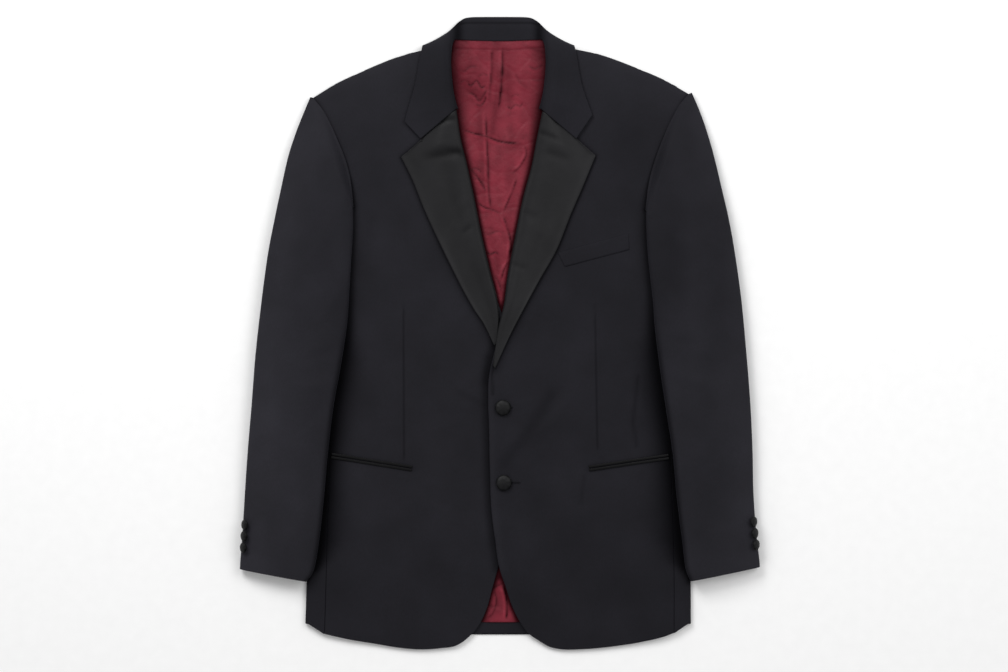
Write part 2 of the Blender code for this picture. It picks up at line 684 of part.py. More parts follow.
def add_strip(jacket, name, side, corners, cloth):
    """A thin strip on a front, made from the front's own heights. Corners: lower pair, then upper pair."""
    lower_start, lower_end, upper_start, upper_end = (np.array(corner, float) for corner in corners)
    grid = []
    for start, end in ((lower_start, lower_end), (upper_start, upper_end)):
        row = [start + (end - start) * share for share in steps((1.0, 6))]
        grid.append([(x, y, front_height(side, x, y) + LAYER_GAP + POCKET_WALL) for x, y in row])
    add_cloth(jacket, name, grid, POCKET_WALL, cloth)


def add_hip_pocket(jacket, side):
    """The two jets of a hip pocket, above and below its slit."""
    start, end = (np.array(point) for point in signed(side, HIP_POCKET[side]))
    along = (end - start) / np.linalg.norm(end - start)
    up = np.array((along[1], -along[0])) * SIDES[side]
    for name, low, high in (
        ("upper", JET_SLIT / 2, JET_SLIT / 2 + JET_DEPTH),
        ("lower", -JET_SLIT / 2 - JET_DEPTH, -JET_SLIT / 2),
    ):
        corners = (start + up * low, end + up * low, start + up * high, end + up * high)
        add_strip(jacket, f"pocket_{side}_{name}_jet", side, corners, "satin")


def add_button(jacket, name, place, across, depth, tilt=0.0):
    """A cloth-covered button: a dome that turns in to a flat back."""
    radius = across / 2
    profile = [(AXIS_OFFSET, depth)]
    for turn in map(math.radians, DOME_ANGLES):
        profile.append((radius * math.sin(turn), depth * (DOME_BASE + (1.0 - DOME_BASE) * math.cos(turn))))
    profile += [(radius * BUTTON_BACK, 0.0), (AXIS_OFFSET, 0.0)]
    mesh = bpy.data.meshes.new(name)
    points = [(x * MM, 0.0, z * MM) for x, z in profile]
    mesh.from_pydata(points, [(i, i + 1) for i in range(len(points) - 1)], [])
    made = bpy.data.objects.new(name, mesh)
    turned = made.modifiers.new("Turned", "SCREW")
    turned.steps = turned.render_steps = BUTTON_SIDES
    turned.use_merge_vertices = True
    turned.merge_threshold = 0.00001
    made.location = [value * MM for value in place]
    made.rotation_euler = (0.0, tilt, 0.0)
    made.data.materials.append(material("covered_button"))
    jacket.objects.link(made)


def main():
    for old in list(bpy.data.objects):
        bpy.data.objects.remove(old)
    jacket = collection("tuxedo_jacket")
    for side in SIDES:
        add_back(jacket, side)
        add_side(jacket, side)
        add_front(jacket, side)
        add_sleeve(jacket, side)
        add_lapel(jacket, side)
        add_hip_pocket(jacket, side)
        for number, (out, y) in enumerate(CUFF_BUTTONS[side], start=1):
            place = (SIDES[side] * out, y, CUFF_BUTTON_Z)
            add_button(
                jacket, f"cuff_button_{side}_{number}", place, CUFF_BUTTON_ACROSS, CUFF_BUTTON_DEPTH,
                SIDES[side] * CUFF_BUTTON_TILT,
            )
    add_back_lining(jacket)
    add_collar(jacket)
    add_strip(jacket, "breast_welt", "left", WELT_CORNERS, "wool")
    for name, (x, y) in FRONT_BUTTONS.items():
        place = (x, y, front_height("left", x, y) + LAYER_GAP)
        add_button(jacket, name, place, BUTTON_ACROSS, BUTTON_DEPTH)


main()
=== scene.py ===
"""The looks of a tuxedo jacket laid flat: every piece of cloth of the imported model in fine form.

Tables are in millimetres and repeat the part's own. Left and right are the wearer's, so the right half has
negative X. +Y runs from the hem to the collar, and +Z is up from the table.
"""

import math

import bpy
import numpy as np
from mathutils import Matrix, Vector, noise


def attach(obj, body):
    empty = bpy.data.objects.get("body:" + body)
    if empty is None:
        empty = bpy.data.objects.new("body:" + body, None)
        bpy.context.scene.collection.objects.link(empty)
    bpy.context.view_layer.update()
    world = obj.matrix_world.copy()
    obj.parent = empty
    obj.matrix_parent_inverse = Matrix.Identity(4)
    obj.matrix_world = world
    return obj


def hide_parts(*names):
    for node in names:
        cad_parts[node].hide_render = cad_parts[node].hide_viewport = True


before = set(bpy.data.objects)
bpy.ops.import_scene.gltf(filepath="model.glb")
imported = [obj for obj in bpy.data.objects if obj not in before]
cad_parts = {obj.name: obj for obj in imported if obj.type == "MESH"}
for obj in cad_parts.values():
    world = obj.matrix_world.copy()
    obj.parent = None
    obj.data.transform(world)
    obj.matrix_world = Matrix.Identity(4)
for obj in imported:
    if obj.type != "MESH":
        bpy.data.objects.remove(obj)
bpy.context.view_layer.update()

MM = 0.001

# Cloth and the room left between pieces
WOOL = 1.5
FRONT_WALL = 2.4
SLEEVE_WALL = 2.0
LAPEL_WALL = 2.0
LINING_WALL = 1.0
SEAM = 0.6
LAYER_GAP = 0.4
LAPEL_GAP = 0.9
UNDERARM_EASE = 2.6

# Heights of the outer faces above the table
BACK_TOP = WOOL
LINING_TOP = BACK_TOP + LAYER_GAP + LINING_WALL
FRONT_TOP = LINING_TOP + LAYER_GAP + FRONT_WALL + 0.2
OVERLAP_RISE = FRONT_WALL + LAYER_GAP + 0.1
SIDE_PUFF = 2.3
SIDE_TOP = FRONT_TOP + SIDE_PUFF
SHOULDER_PUFF = 2.8
SHOULDER_EDGE = BACK_TOP + LAYER_GAP + FRONT_WALL + 0.3
CHEST_PUFF = 1.6
NECK_LIFT = 3.0
COLLAR_LOWEST = 1.3
SLEEVE_CLEAR = 2.2

# Where each swelling starts and where it is full, across from the middle and up the jacket
SIDE_PUFF_ACROSS = (150.0, 222.0)
SIDE_PUFF_FADE_Y = (120.0, 250.0)
SHOULDER_PUFF_ACROSS = (90.0, 165.0)
SHOULDER_PUFF_Y = (190.0, 290.0)
CHEST_CENTRE = (128.0, 130.0)
CHEST_SPREAD = (62.0, 110.0)
OVERLAP_ACROSS = (27.0, 56.0)
OVERLAP_FADE_Y = (30.0, 110.0)
NECK_LIFT_ACROSS = (102.0, 152.0)
NECK_LIFT_Y = (302.0, 360.0)
NECK_LIFT_LAYER = 8.0
SHOULDER_ROUND = 14.0

# Soft folds on the fronts: both ends of each ridge, its half width and its height
FRONT_FOLDS = {
    "right": [(-18, -101, -88, -84, 13, 0.9), (-150, 96, -178, 30, 16, 1)],
    "left": [
        (90, -105, 20, -142, 15, 1.5),
        (78, -137, 24, -172, 12, 0.9),
        (112, -188, 104, -250, 15, 0.8),
        (152, 84, 176, 20, 16, 1),
    ],
}

COLLAR_CENTRE = -2.2
SIDE_UNDER_X = 198.0
ROLL_INSET = 3.0
ROLL_PASSAGE = 30.0
BACK_HEM_Y = -391.6
BACK_NECK_Y = 385.0
BACK_NECK_HALF = 34.0
NAPE_DIP = 1.5
BACK_UNDERARM_Y = 118.0
LINING_HEM_Y = -375.5
LINING_INSET = 9.0
LINING_SIDE_YS = (-60.0, 110.0)
LINING_SHOULDER_DROP = 19.0
LINING_NECK = [(-72, 366), (-62, 383), (-2.2, 384), (58, 383), (68, 366)]

SIDES = {"right": -1, "left": 1}

# The closed front edge, from the cutaway corner of the hem up to the neck, as x and y
FRONT_EDGE = {
    "right": [
        (-48.2, -400.7), (-38.5, -392.5), (-26.1, -376.7), (-17, -356.5), (-9.9, -330.5), (-2.3, -304),
        (8, -272), (17, -225), (22, -150), (23, -80), (20, -30), (12, 5),
        (1.8, 28.3), (-11.8, 77.7), (-23.5, 127.1), (-32.6, 173.9), (-42.2, 218.1), (-50.8, 251.9),
        (-57.3, 288.3), (-62.1, 319.5), (-64.6, 350.7), (-64, 378),
    ],
    "left": [
        (54, -401.6), (37.6, -390.1), (24.6, -372.6), (15.5, -354), (7.5, -330), (-1, -304),
        (-6.5, -268), (-10.8, -235), (-13.2, -181), (-14.6, -120), (-15.6, -80), (-14, -52),
        (-9, -30), (-1.4, 11.4), (3.5, 50), (13.8, 99.1), (29, 173.9), (40.7, 218.1),
        (47.3, 251.9), (54.5, 288.3), (60.6, 319.5), (62.6, 350.7), (62, 378),
    ],
}
ROLL_STARTS_Y = {"right": 44.0, "left": -20.0}

# The hem of each front, from its cutaway corner to the side seam, with x as a distance from the middle
HEM = {
    "right": [
        (48.2, -400.7), (56, -405.3), (76.2, -409), (102.8, -410.7), (130, -408.6), (162.6, -403.3),
        (193.8, -398.1), (228, -390.4),
    ],
    "left": [
        (54, -401.6), (64, -407.2), (77.2, -410.2), (106.5, -410.4), (143.5, -407.2), (183.2, -401),
        (218.3, -392.1), (226, -389),
    ],
}

# The shoulder seam line from the neck to the shoulder point
SHOULDER = {
    "right": [(64, 378), (95, 370.6), (130.1, 361.1), (182.1, 340.3), (219.8, 322.1), (244.2, 306.6)],
    "left": [(62, 378), (92, 371.4), (120.8, 365.6), (181.9, 344.2), (218.3, 328.1), (246.2, 311.8)],
}

# The armhole seam, from the underarm to the shoulder point
ARMHOLE = {
    "right": [
        (190.5, 164.8), (193.8, 192.1), (200.3, 220.7), (212.4, 251.9), (224.2, 277.9), (236.6, 298.4),
        (244.2, 306.6),
    ],
    "left": [
        (188.9, 161), (193.2, 192.1), (200.8, 220.7), (210.5, 248), (224.8, 280.5), (237.6, 302.4),
        (246.2, 311.8),
    ],
}

# The seam between front and side panel, from the hem up into the hollow of the armhole
SIDE_SEAM = [(226, -321), (222, -160), (219, -60), (221, 40), (222, 128), (205, 146)]

# The fold at the side of the body, then the hollow of the armhole, as the body's reach at each height
SIDE_FOLD = {
    "y": [-377.3, -321, -250, -160, -60, 40, 112, 118, 129, 146, 165],
    "right": [253.6, 251.5, 248, 243, 239, 245, 251, 240, 222, 205, 190.5],
    "left": [248.4, 247.8, 246, 242, 239, 245, 251, 240, 222, 205, 188.9],
}
UNDERARM_Y = 112.0
HEM_CORNER_Y = -377.3

# Each section of a sleeve: its outer end's x and y, its inner end's x and y, and how high it stands
SLEEVE = {
    "right": [
        (246.8, 307.6, 190.9, 164.2, 9.6),
        (257, 283, 190.7, 151, 13.5),
        (266.5, 258, 190.8, 138, 17.5),
        (275.8, 228, 191.4, 122, 21.5),
        (284.8, 187, 192.8, 102, 24.5),
        (294, 143, 194.4, 75, 26.5),
        (302, 100, 196.2, 44, 27),
        (309.5, 44, 199, 8, 27.5),
        (317.3, -25, 207, -44, 28),
        (322.5, -91.3, 216.6, -98, 27),
        (327.7, -152.4, 223.4, -156, 25),
        (331.4, -207, 228.6, -214, 23.5),
        (334.8, -262, 235.2, -272, 22),
        (337.2, -292, 241.5, -306, 21),
        (338.1, -305.8, 251, -321.4, 20.5),
    ],
    "left": [
        (249.2, 313.5, 189.4, 160.4, 9.6),
        (258, 293, 189.4, 147, 13.5),
        (267, 268, 189.9, 134, 17.5),
        (277, 234, 190.6, 119, 21.5),
        (287.5, 190, 192.2, 98, 24.5),
        (297.3, 147, 195, 72, 26.5),
        (305.2, 102, 198.4, 42, 27),
        (313.2, 44, 201, 6, 27.5),
        (319.7, -25, 207.5, -46, 28),
        (324.9, -91.3, 215.6, -100, 27),
        (327.8, -152.4, 224, -156, 25),
        (329, -207, 229.4, -214, 23.5),
        (333, -262, 236.4, -270, 22),
        (336.4, -290, 240.6, -304, 21),
        (337.6, -303, 246.9, -320.9, 20.5),
    ],
}
SLEEVE_OUTER_SHARE = 0.42
SLEEVE_INNER_RISE = 7.0
SLEEVE_BAND = 2.2
SLEEVE_CROWN = 0.72
SLEEVE_BOW_ROWS = 6
SLEEVE_LEAST_ROOM = 1.0
FLOOR_RAMP = (-42.0, -9.0)
FLOOR_MARGIN = 22.0
FLOOR_FADE = 52.0
EASE_FADE = (50.0, 120.0)

# Soft folds on the top sleeves: both ends of each ridge, its half width and its height
SLEEVE_FOLDS = {
    "right": [
        (-268, 206, -289, 60, 17, 1.3),
        (-222, 8, -262, -58, 15, 1.5),
        (-226, -56, -282, -112, 15, 1.2),
        (-262, -176, -306, -236, 16, 1),
    ],
    "left": [
        (270, 210, 286, 92, 16, 1.3),
        (220, 24, 264, -34, 15, 1.4),
        (228, -38, 286, -84, 14, 1.3),
        (250, -150, 298, -196, 16, 0.9),
    ],
}

# Each section of a lapel: a point on its roll line and one on its outer edge. The second row is its point.
LAPEL = {
    "right": [
        (56.4, 290.4, 103, 250.6),
        (51, 254, 128.8, 229.5),
        (42.4, 218.1, 113.8, 199.4),
        (32.8, 173.9, 98, 160),
        (23.5, 127.1, 76.6, 113.6),
        (11.8, 77.7, 51, 62),
        (4, 46, 34.4, 32.4),
        (1.9, 20, 21.5, 11.5),
        (7.4, -6.4, 9.6, -7.6),
    ],
    "left": [
        (54.6, 288.4, 98.2, 254.2),
        (47.6, 254, 124.3, 231.5),
        (40.7, 218.1, 108.6, 193.4),
        (29, 173.9, 91.8, 154.6),
        (19, 125, 74, 110),
        (8.6, 76, 52.6, 72),
        (1.8, 40, 35, 40),
        (-3.2, 4, 14, 0),
        (-8.2, -36, -3.4, -40.6),
    ],
}
LAPEL_POINT_ROW = 1
LAPEL_ROLL = 3.6
LAPEL_ROLL_SHARE = 0.45
LAPEL_ROLL_LEAN = 0.6
LAPEL_LIP_DROP = 0.2
LAPEL_FULL_WIDTH = 40.0
LAPEL_WRAP = (12.0, 40.0)

# Each section of the collar, from the gorge seam to the middle of the back. Three points and two heights:
# the lip at the neck seam, the fold, the free edge, and the heights just inside and just past the fold.
COLLAR_COLUMNS = (
    "lip_x", "lip_y", "lip_z", "fold_x", "fold_y", "fold_z", "edge_x", "edge_y", "edge_z", "in_z", "out_z",
)
COLLAR = [
    (52.6, 291.6, 6, 54, 292.8, 9.2, 101.2, 253.4, 11, 7, 13),
    (55.8, 303, 6, 57.2, 304, 9.2, 122.2, 279.6, 11.2, 7, 13.4),
    (59, 320, 6.2, 60.6, 320, 9.4, 109, 322, 11.8, 7.4, 13.8),
    (61.4, 348, 7.2, 63.2, 348, 10, 102.8, 355, 12.4, 8.4, 14),
    (60.4, 371, 8.4, 63.4, 374, 10.4, 99.8, 369.6, 11.6, 9.4, 13),
    (57, 381.6, 8.8, 61.6, 388, 9, 98, 374.4, 6.2, 9.6, 9.2),
    (52, 382, 8.6, 57, 398, 7.2, 91, 373, 1.3, 8.9, 4.8),
    (43, 381.8, 8.2, 48.6, 404.6, 5.8, 66, 366, 1.3, 8.1, 2),
    (30, 381.2, 7.7, 34, 407.4, 4.7, 42, 366.5, 1.3, 7.7, 1.3),
    (0, 380.6, 7.5, 0, 407.8, 4.4, 0, 367, 1.3, 7.5, 1.3),
]
COLLAR_POINT_ROW = 1
COLLAR_INSIDE_SHARE = 0.75
COLLAR_PAST_SHARE = 0.16
COLLAR_TIP_Y = {"right": 275.3, "left": 284.0}

# The slanted breast pocket's welt: lower left, lower right, upper left and upper right corners
WELT_CORNERS = ((84.4, 87.0), (168.0, 109.0), (75.5, 105.5), (166.9, 130.6))

# The hip pockets run from the side to the front and slope down
HIP_POCKET = {
    "right": ((219.5, -158.3), (114.5, -175.2)),
    "left": ((219.5, -159.6), (115.6, -175.2)),
}
JET_DEPTH = 3.7
JET_SLIT = 0.5

BUTTON_ACROSS = 20.5
BUTTON_DEPTH = 6.0
FRONT_BUTTONS = {"button_upper": (3.8, -96.0), "button_lower": (5.1, -193.5)}
CUFF_BUTTON_ACROSS = 13.6
CUFF_BUTTON_DEPTH = 4.6
CUFF_BUTTON_TILT = math.radians(52.0)
CUFF_BUTTONS = {
    "right": ((329.6, -247.6), (330.5, -262.2), (331.4, -277.2)),
    "left": ((327.4, -243.6), (329, -258.6), (330.6, -273.4)),
}
CUFF_BUTTON_Z = 19.1

# Walls of the cloth that shows
FINE_WALL = {
    "back": 1.5, "side": 1.5, "front": 2.2, "sleeve": 1.5, "lapel": 1.7, "collar": 2, "lining": 0.4,
    "pocket": 1,
    "turn_up": 0.35,
}
EDGE_TICKS = (0.25, 0.7, 1.3, 2.2, 3.4)
ROUND_RIM = 0.62
SEAM_RIM = 0.2

# How far the front's side edge and the sleeve's head reach over the piece that they are sewn to
FRONT_LAP = 0.35
SLEEVE_LAP = 1.1
SLEEVE_LAP_DROP = 0.3
UNDER_LAP_RISE = 0.15

# The side panel's seam allowance, turned in under the front: distance from the seam, and drop
SIDE_TURN_IN = [(-1.3, -3.2), (-0.2, -3.1), (0.38, -2.0), (0.5, -0.8), (0.66, -0.2), (1.0, 0.0)]

# The lapel's own seam allowance, turned in under the collar: distance past the gorge, and drop
GORGE_TURN_IN = [(3.6, 2.1), (2.9, 1.2), (2.0, 0.5), (1.0, 0.12)]
ROLL_STEP = 3.6

# Pressed darts on the fronts, each from its top to its bottom
DARTS = {"right": [(-125.6, 37.4), (-124.9, -165.4)], "left": [(123.4, 37.4), (126.6, -151.1)]}
DART_STRETCH = {"right": (0.555, 0.62, 22), "left": (0.545, 0.605, 22)}
DART_DEPTH = 0.85
DART_HALF_WIDTH = 1.1

# Finer folds on the fronts, as ridges or, where the height is below 0, troughs
FINE_FRONT_FOLDS = {
    "right": [
        (-21, -92, -52, -72, 3.2, 0.45), (-24, -104, -60, -104, 4, -0.4),
        (-24, -186, -66, -176, 5, 0.45), (-168, 150, -184, 96, 9, 0.8),
        (-146, 250, -176, 190, 14, 0.6), (-196, -30, -190, -120, 8, -0.5),
        (-60, -230, -72, -330, 22, 0.6), (-150, -230, -146, -340, 24, 0.5),
    ],
    "left": [
        (80, -66, 36, -132, 7.5, -1.1), (46, -118, 2, -174, 6.5, -1),
        (92, -84, 44, -140, 7, 0.6), (60, -84, 18, -92, 5, 0.4),
        (110, -184, 105, -220, 2.6, -0.45), (180, -48, 170, -122, 3, -0.9),
        (187, -52, 178, -126, 4, 0.6), (171, -112, 179, -150, 3, -0.7), (170, 144, 184, 90, 9, 0.7),
        (26, -196, 70, -206, 6, 0.4), (70, -230, 62, -330, 22, 0.7),
        (150, -220, 156, -330, 24, 0.5), (140, 260, 176, 200, 14, 0.6),
    ],
}
FINE_SLEEVE_FOLDS = {
    "right": [
        (-203, 60, -240, 6, 6, 0.9), (-212, -20, -258, -36, 5, -0.9),
        (-222, -66, -276, -70, 6.5, 0.9), (-226, -92, -262, -128, 5, -0.6),
        (-214, 150, -246, 92, 8, 0.8), (-246, 236, -262, 150, 9, -0.6),
        (-300, -40, -314, -150, 7, 0.7), (-252, -230, -284, -286, 9, 0.7),
        (-298, 60, -308, -20, 6, -0.5),
    ],
    "left": [
        (202, 64, 238, 22, 6, 0.9), (212, -8, 262, -16, 5, -0.8),
        (222, -52, 272, -68, 6, 0.8), (232, -104, 270, -146, 6, -0.6),
        (212, 148, 244, 96, 8, 0.7), (250, 250, 266, 160, 9, -0.6),
        (300, -60, 312, -160, 7, 0.7), (250, -236, 286, -280, 9, 0.6),
    ],
}

# Creases of the lining: points of each line, its half width and its depth. One side stands higher.
LINING_CREASES = [
    ([(3, 376), (2.6, 350), (0.5, 318), (-3, 288)], 2, 1.35),
    ([(-11, 374), (-12, 340), (-14, 318), (-17, 300)], 3, 0.9),
    ([(-19.5, 292), (-18, 262), (-16.5, 225), (-15.5, 190), (-11, 150)], 1.3, 1.3),
    ([(-50, 266), (-36, 261), (-20, 257), (-2, 250.5), (14, 248), (31, 247.5)], 0.9, 1.6),
    ([(31, 247), (34, 236), (27, 220), (14, 207)], 1, 0.9),
    ([(-44, 327), (-38, 322.5), (-31, 329), (-24, 320), (-17, 324)], 0.9, 1.3),
    ([(-43, 314), (-34, 311), (-27, 303), (-21, 310), (-15, 321)], 0.9, 1.3),
    ([(-33, 300), (-26, 296), (-20, 303), (-18, 313)], 0.8, 1),
    ([(-52, 327), (-45, 329), (-39, 326)], 0.8, 0.7),
    ([(-28, 333), (-22, 338), (-15, 334)], 0.9, 0.7),
    ([(8, 297), (14, 293), (20, 297.5), (26, 296), (31, 302)], 0.8, 1.1),
    ([(14, 308), (21, 311), (27, 309)], 0.8, 0.5),
    ([(-40, 216), (-33, 208), (-26, 198), (-17, 183)], 0.9, 1.4),
    ([(-37, 214), (-30, 214.5), (-24, 209)], 0.7, 0.9),
    ([(-36, 204), (-28, 200), (-21, 196)], 0.7, 0.7),
    ([(-31, 172), (-22, 165), (-10, 161), (3, 155)], 0.9, 1.2),
    ([(22, 204), (16, 186), (8, 168), (3, 155)], 0.9, 0.8),
    ([(3, 155), (9, 138), (13.5, 118), (11, 96)], 1.1, 1.4),
    ([(-24, 132), (-15, 129), (-5, 133), (7, 131)], 0.8, 0.8),
    ([(-19, 108), (-13, 103), (-6, 105.5), (-1, 102)], 0.8, 1.1),
    ([(11, 95), (5, 84), (1, 70)], 0.9, 0.9),
    ([(-9, 78), (-2, 66), (2, 52)], 0.9, 1.1),
    ([(-55, 344), (-47, 341), (-38, 347), (-28, 346)], 1.6, 0.6),
    ([(36, 349), (44, 344), (57, 350)], 1.3, 0.8),
    ([(40, 332), (47, 329), (56, 331)], 0.9, 0.6),
    ([(18, 340), (26, 326), (36, 318)], 2.2, 0.5),
    ([(-9, -332), (-3, -328.5), (3.5, -325.5)], 0.9, 1.4),
    ([(3.5, -326), (7.5, -342), (8, -374)], 1, 1.5),
    ([(-9, -333), (-5, -346), (-9, -362), (-18, -372)], 1, 0.9),
    ([(-17, -352), (-9, -356), (1, -352)], 1.1, 0.7),
    ([(10, -350), (18, -358), (24, -371)], 1.2, 0.6),
]

# Soft bands of painted shade on the lining, or of painted light where the depth is below 0: points, half
# width and depth
LINING_BANDS = [
    ([(0, 340), (-8, 280), (-10, 262)], 4.5, 0.3), ([(-40, 326), (-20, 300)], 11, 0.26),
    ([(-14, 352), (-9, 305)], 3.5, -0.18), ([(-26, 292), (-22, 200), (-18, 150)], 4, 0.16),
    ([(-20, 372), (-30, 340)], 8, 0.16), ([(10, 372), (12, 300)], 5, 0.12),
    ([(34, 374), (56, 366)], 3, 0.28), ([(8, 262), (10, 252), (30, 250.5)], 2.5, -0.2),
    ([(20, 240), (26, 200)], 6, -0.14), ([(-6, 150), (0, 120)], 5, -0.14),
    ([(-6, 100), (4, 60)], 5, 0.16), ([(-14, -350), (-18, -372)], 5, 0.25),
    ([(14, -350), (22, -372)], 5, 0.2),
]
LINING_YOKE = [(-62, 371), (-10, 369.5), (12, 369), (60, 372.5)]

# How far the neck's opening reaches each side, for the lining's room to wrinkle
OPENING_Y = [-410, -376, -345, -306, -300, 26, 78, 127, 174, 218, 252, 288, 320, 351, 380]
OPENING = {
    "right": [-50, -25, -14, -1, 0, 1.4, -11.8, -23.5, -32.6, -42.2, -50.8, -57.3, -62.1, -64.6, -64],
    "left": [50, 25, 12, -1, 0, 2.6, 11, 19.5, 29, 40.7, 47.3, 54.5, 60.6, 62.7, 62],
}

# Dents in the satin where it has been handled: both ends, half width and height
LAPEL_DENTS = {
    "right": [
        (-78, 276, -56, 279.5, 3.2, -1), (-100, 230, -48, 236, 6.5, -1.3),
        (-72, 240, -45, 234, 3, -0.8), (-50, 130, -36, 141, 3.4, -0.7),
        (-46, 176, -60, 150, 5, 0.4),
    ],
    "left": [
        (50, 262, 76, 252, 4, -0.7), (56, 238, 92, 226, 6, -0.6),
        (30, 160, 48, 150, 4, -0.5), (14, 92, 34, 84, 3, -0.5),
    ],
}

# How wide the deep shade beside a sleeve is on the body, at each height
SLEEVE_SHADE = {
    "y": [-340, -312, -292, -268, -229, -190, -151, -112, -73, -34, 0, 60, 110, 170],
    "width": [3, 5, 20, 31, 28, 24, 23, 24, 25, 23, 12, 6, 4, 2.5],
}
SLEEVE_SHADE_SPREAD = {"right": 0.84, "left": 1.0}
SLEEVE_SHADE_DEPTH = 0.82

# How much painted light a sleeve gets from its outer edge to its inner one, and how much painted shade
# darkens that edge
SLEEVE_LIGHT = {
    "across": [0, 0.2, 0.4, 0.7, 1],
    "right": [1.5, 1.44, 1.26, 1.16, 1.1],
    "left": [1.34, 1.24, 1.16, 1.1, 1.06],
}
SLEEVE_EDGE_SHADE = 0.5
# Painted light on the fronts, more on the right one, and more towards the shoulders
FRONT_LIGHT = {"right": 1.1, "left": 1.03}
SHOULDER_LIGHT = 0.22

# Soft lines of painted shade on the fronts: points, half width and depth
FRONT_SHADES = {
    "right": [
        ([(-16, -30), (-19, -62)], 7, 0.3), ([(-21, -92), (-52, -76)], 5, 0.12),
        ([(-168, 150), (-184, 96)], 9, 0.1),
    ],
    "left": [
        ([(67.5, -79.6), (37.6, -129), (6.4, -168)], 9, 0.17),
        ([(179.3, -56.2), (172.8, -116), (178, -146)], 2.6, 0.24),
        ([(-8.6, -40), (-10.6, -52), (-10.2, -78)], 1.9, 0.45),
        ([(110, -184), (105, -220)], 2.4, 0.16),
    ],
}
# Painted shade beside the closed edge and the lapels' edges, along the lapels' roll, on the jets, and along
# the edges of the lining's opening
EDGE_SHADE_DEPTH = 0.52
EDGE_SHADE_WIDTH = 8.5
LAPEL_SHADE_DEPTH = 0.5
LAPEL_ROLL_SHADE = 0.24
JET_SHADE = 0.64
LINING_SHADE_DEPTH = 0.84
LINING_SHADE = {"y": [-400, 20, 140, 200, 245, 292, 400], "width": [5, 3, 4, 5, 7.5, 13, 14.5]}

# Finer rows of the lapels where they meet: the right one's end runs on under the left one
FINE_LAPEL_ROWS = {
    "right": {7: (1.5, 20, 21.2, 12.6), 8: (3.6, -12, 7.4, -15.4)},
    "left": {5: (9.6, 76, 52.6, 72), 6: (5.2, 40, 35, 40), 8: (-9.4, -41, -6.8, -45)},
}
EDGE_EASE = {"right": 0.0, "left": 3.2}
LAPEL_SHARES = (
    0, 0.012, 0.03, 0.06, 0.09, 0.13, 0.18, 0.24, 0.3, 0.37, 0.44, 0.52, 0.6, 0.68, 0.76, 0.84, 0.9, 0.94,
    0.965,
    0.982, 0.993, 1,
)
COLLAR_TOP_REACH = {"across": [0.0, 42.0, 57.0, 75.0], "reach": [3.6, 3.6, -0.1, 0.4], "y": (385.0, 404.0)}
STAND_SEAM_Y = 400.5
BUTTONHOLE_REACH = {"button_upper": 12.0, "button_lower": 20.0}
LINING_REST = 2.35
HEM_TURN_UP_HALF = 190.0

# How cloth is cut and rounded at its edges
EDGE_TICK_ROOM = 1.3
LEAST_RIM = 0.12
SEAM_RIMS = (ROUND_RIM, SEAM_RIM, ROUND_RIM, ROUND_RIM)
SHADE_RANGE = (0.05, 1.6)

# Where a fold grows and fades, as shares of its length
FOLD_GROWS = (-0.15, 0.3)
FOLD_FADES = (0.7, 1.15)

# Uneven cloth: the size, height and seed of each swell, and 1 where the two sides differ
FRONT_SWELLS = [(85.0, 0.35, 3.0, 1), (24.0, 0.12, 8.0, 0)]
SLEEVE_SWELLS = [(75.0, 0.7, 12.0, 1), (28.0, 0.3, 15.0, 0)]
LAPEL_EDGE_SWELLS = [(46.0, 0.35, 21.0, 1)]
LAPEL_SWELLS = [(90.0, 0.5, 25.0, 0)]
COLLAR_SWELLS = [(40.0, 0.25, 31.0, 0)]
COLLAR_SWELLS_Z = 4.0
LINING_SWELLS = [(38.0, 0.5, 2.0, 0), (14.0, 0.22, 6.0, 0)]
LINING_CLOUDS = [(16.0, 0.14, 44.0, 0)]

# Where a dart grows and ends, as shares of its length
DART_GROWS = (0.0, 0.08)
DART_ENDS = (0.97, 1.0)

# The ridges beside a dart, the closed edge and the sleeve's head: height, distance and half width
DART_RIDGE = (0.5, 3.0, 2.2)
EDGE_RIDGE_POINTS = slice(4, 13)
EDGE_RIDGES = [(0.7, 4.5, 3.2), (-0.3, 11.0, 3.0)]
HEAD_RIDGES = [(0.9, 7.0, 5.0), (-0.6, 0.0, 2.5)]

# How deep a front may sink, and where the left edge is eased out
LEAST_RELIEF = -1.1
EDGE_EASE_Y = 44.0
EDGE_EASE_SPREAD = 28.0

# Side panels
SIDE_SOFTNESS = 0.5
SIDE_SOFT_SIZE = 60.0
SIDE_LIFT_ENDS = 0.995
SIDE_TOP_SHARES = (0.06, 0.14, 0.24, 0.36, 0.5, 0.65, 0.82)
SIDE_FOLD_POINTS = 25
SIDE_UNDER_POINTS = 14
SIDE_SHADE_Z = 2.0

# Painted light on the fronts, darker towards the hem, and the painted shade beside what lies on them: half
# width and depth
SLEEVE_SHADE_FADE = 0.35
SLEEVE_SHADE_FADE_Y = (-20.0, 60.0)
SHOULDER_LIGHT_Y = (250.0, 370.0)
HEM_SHADE = 0.06
HEM_SHADE_Y = (-230.0, -330.0)
POCKET_SHADE = (4.5, 0.22)
LAPEL_SHADE = {"y": (-40.0, 230.0), "width": (5.5, 2.6)}
DART_SHADE = (1.1, 0.3)
ARMHOLE_SHADE = (2.6, 0.5)
EDGE_SHADE_Y = (-330.0, 25.0)

# The painted highlight beside the closed edge: its strength, its distance and its half width
EDGE_LIGHT = (0.16, 3.0, 6.0)

# Dips of the fronts at the armhole seam and the hip pocket: half width and depth
ARMHOLE_DIP = (4.5, 0.9)
POCKET_DIP = (7.0, 0.35)
POCKET_DIP_ENDS = (0.97, 1.0)
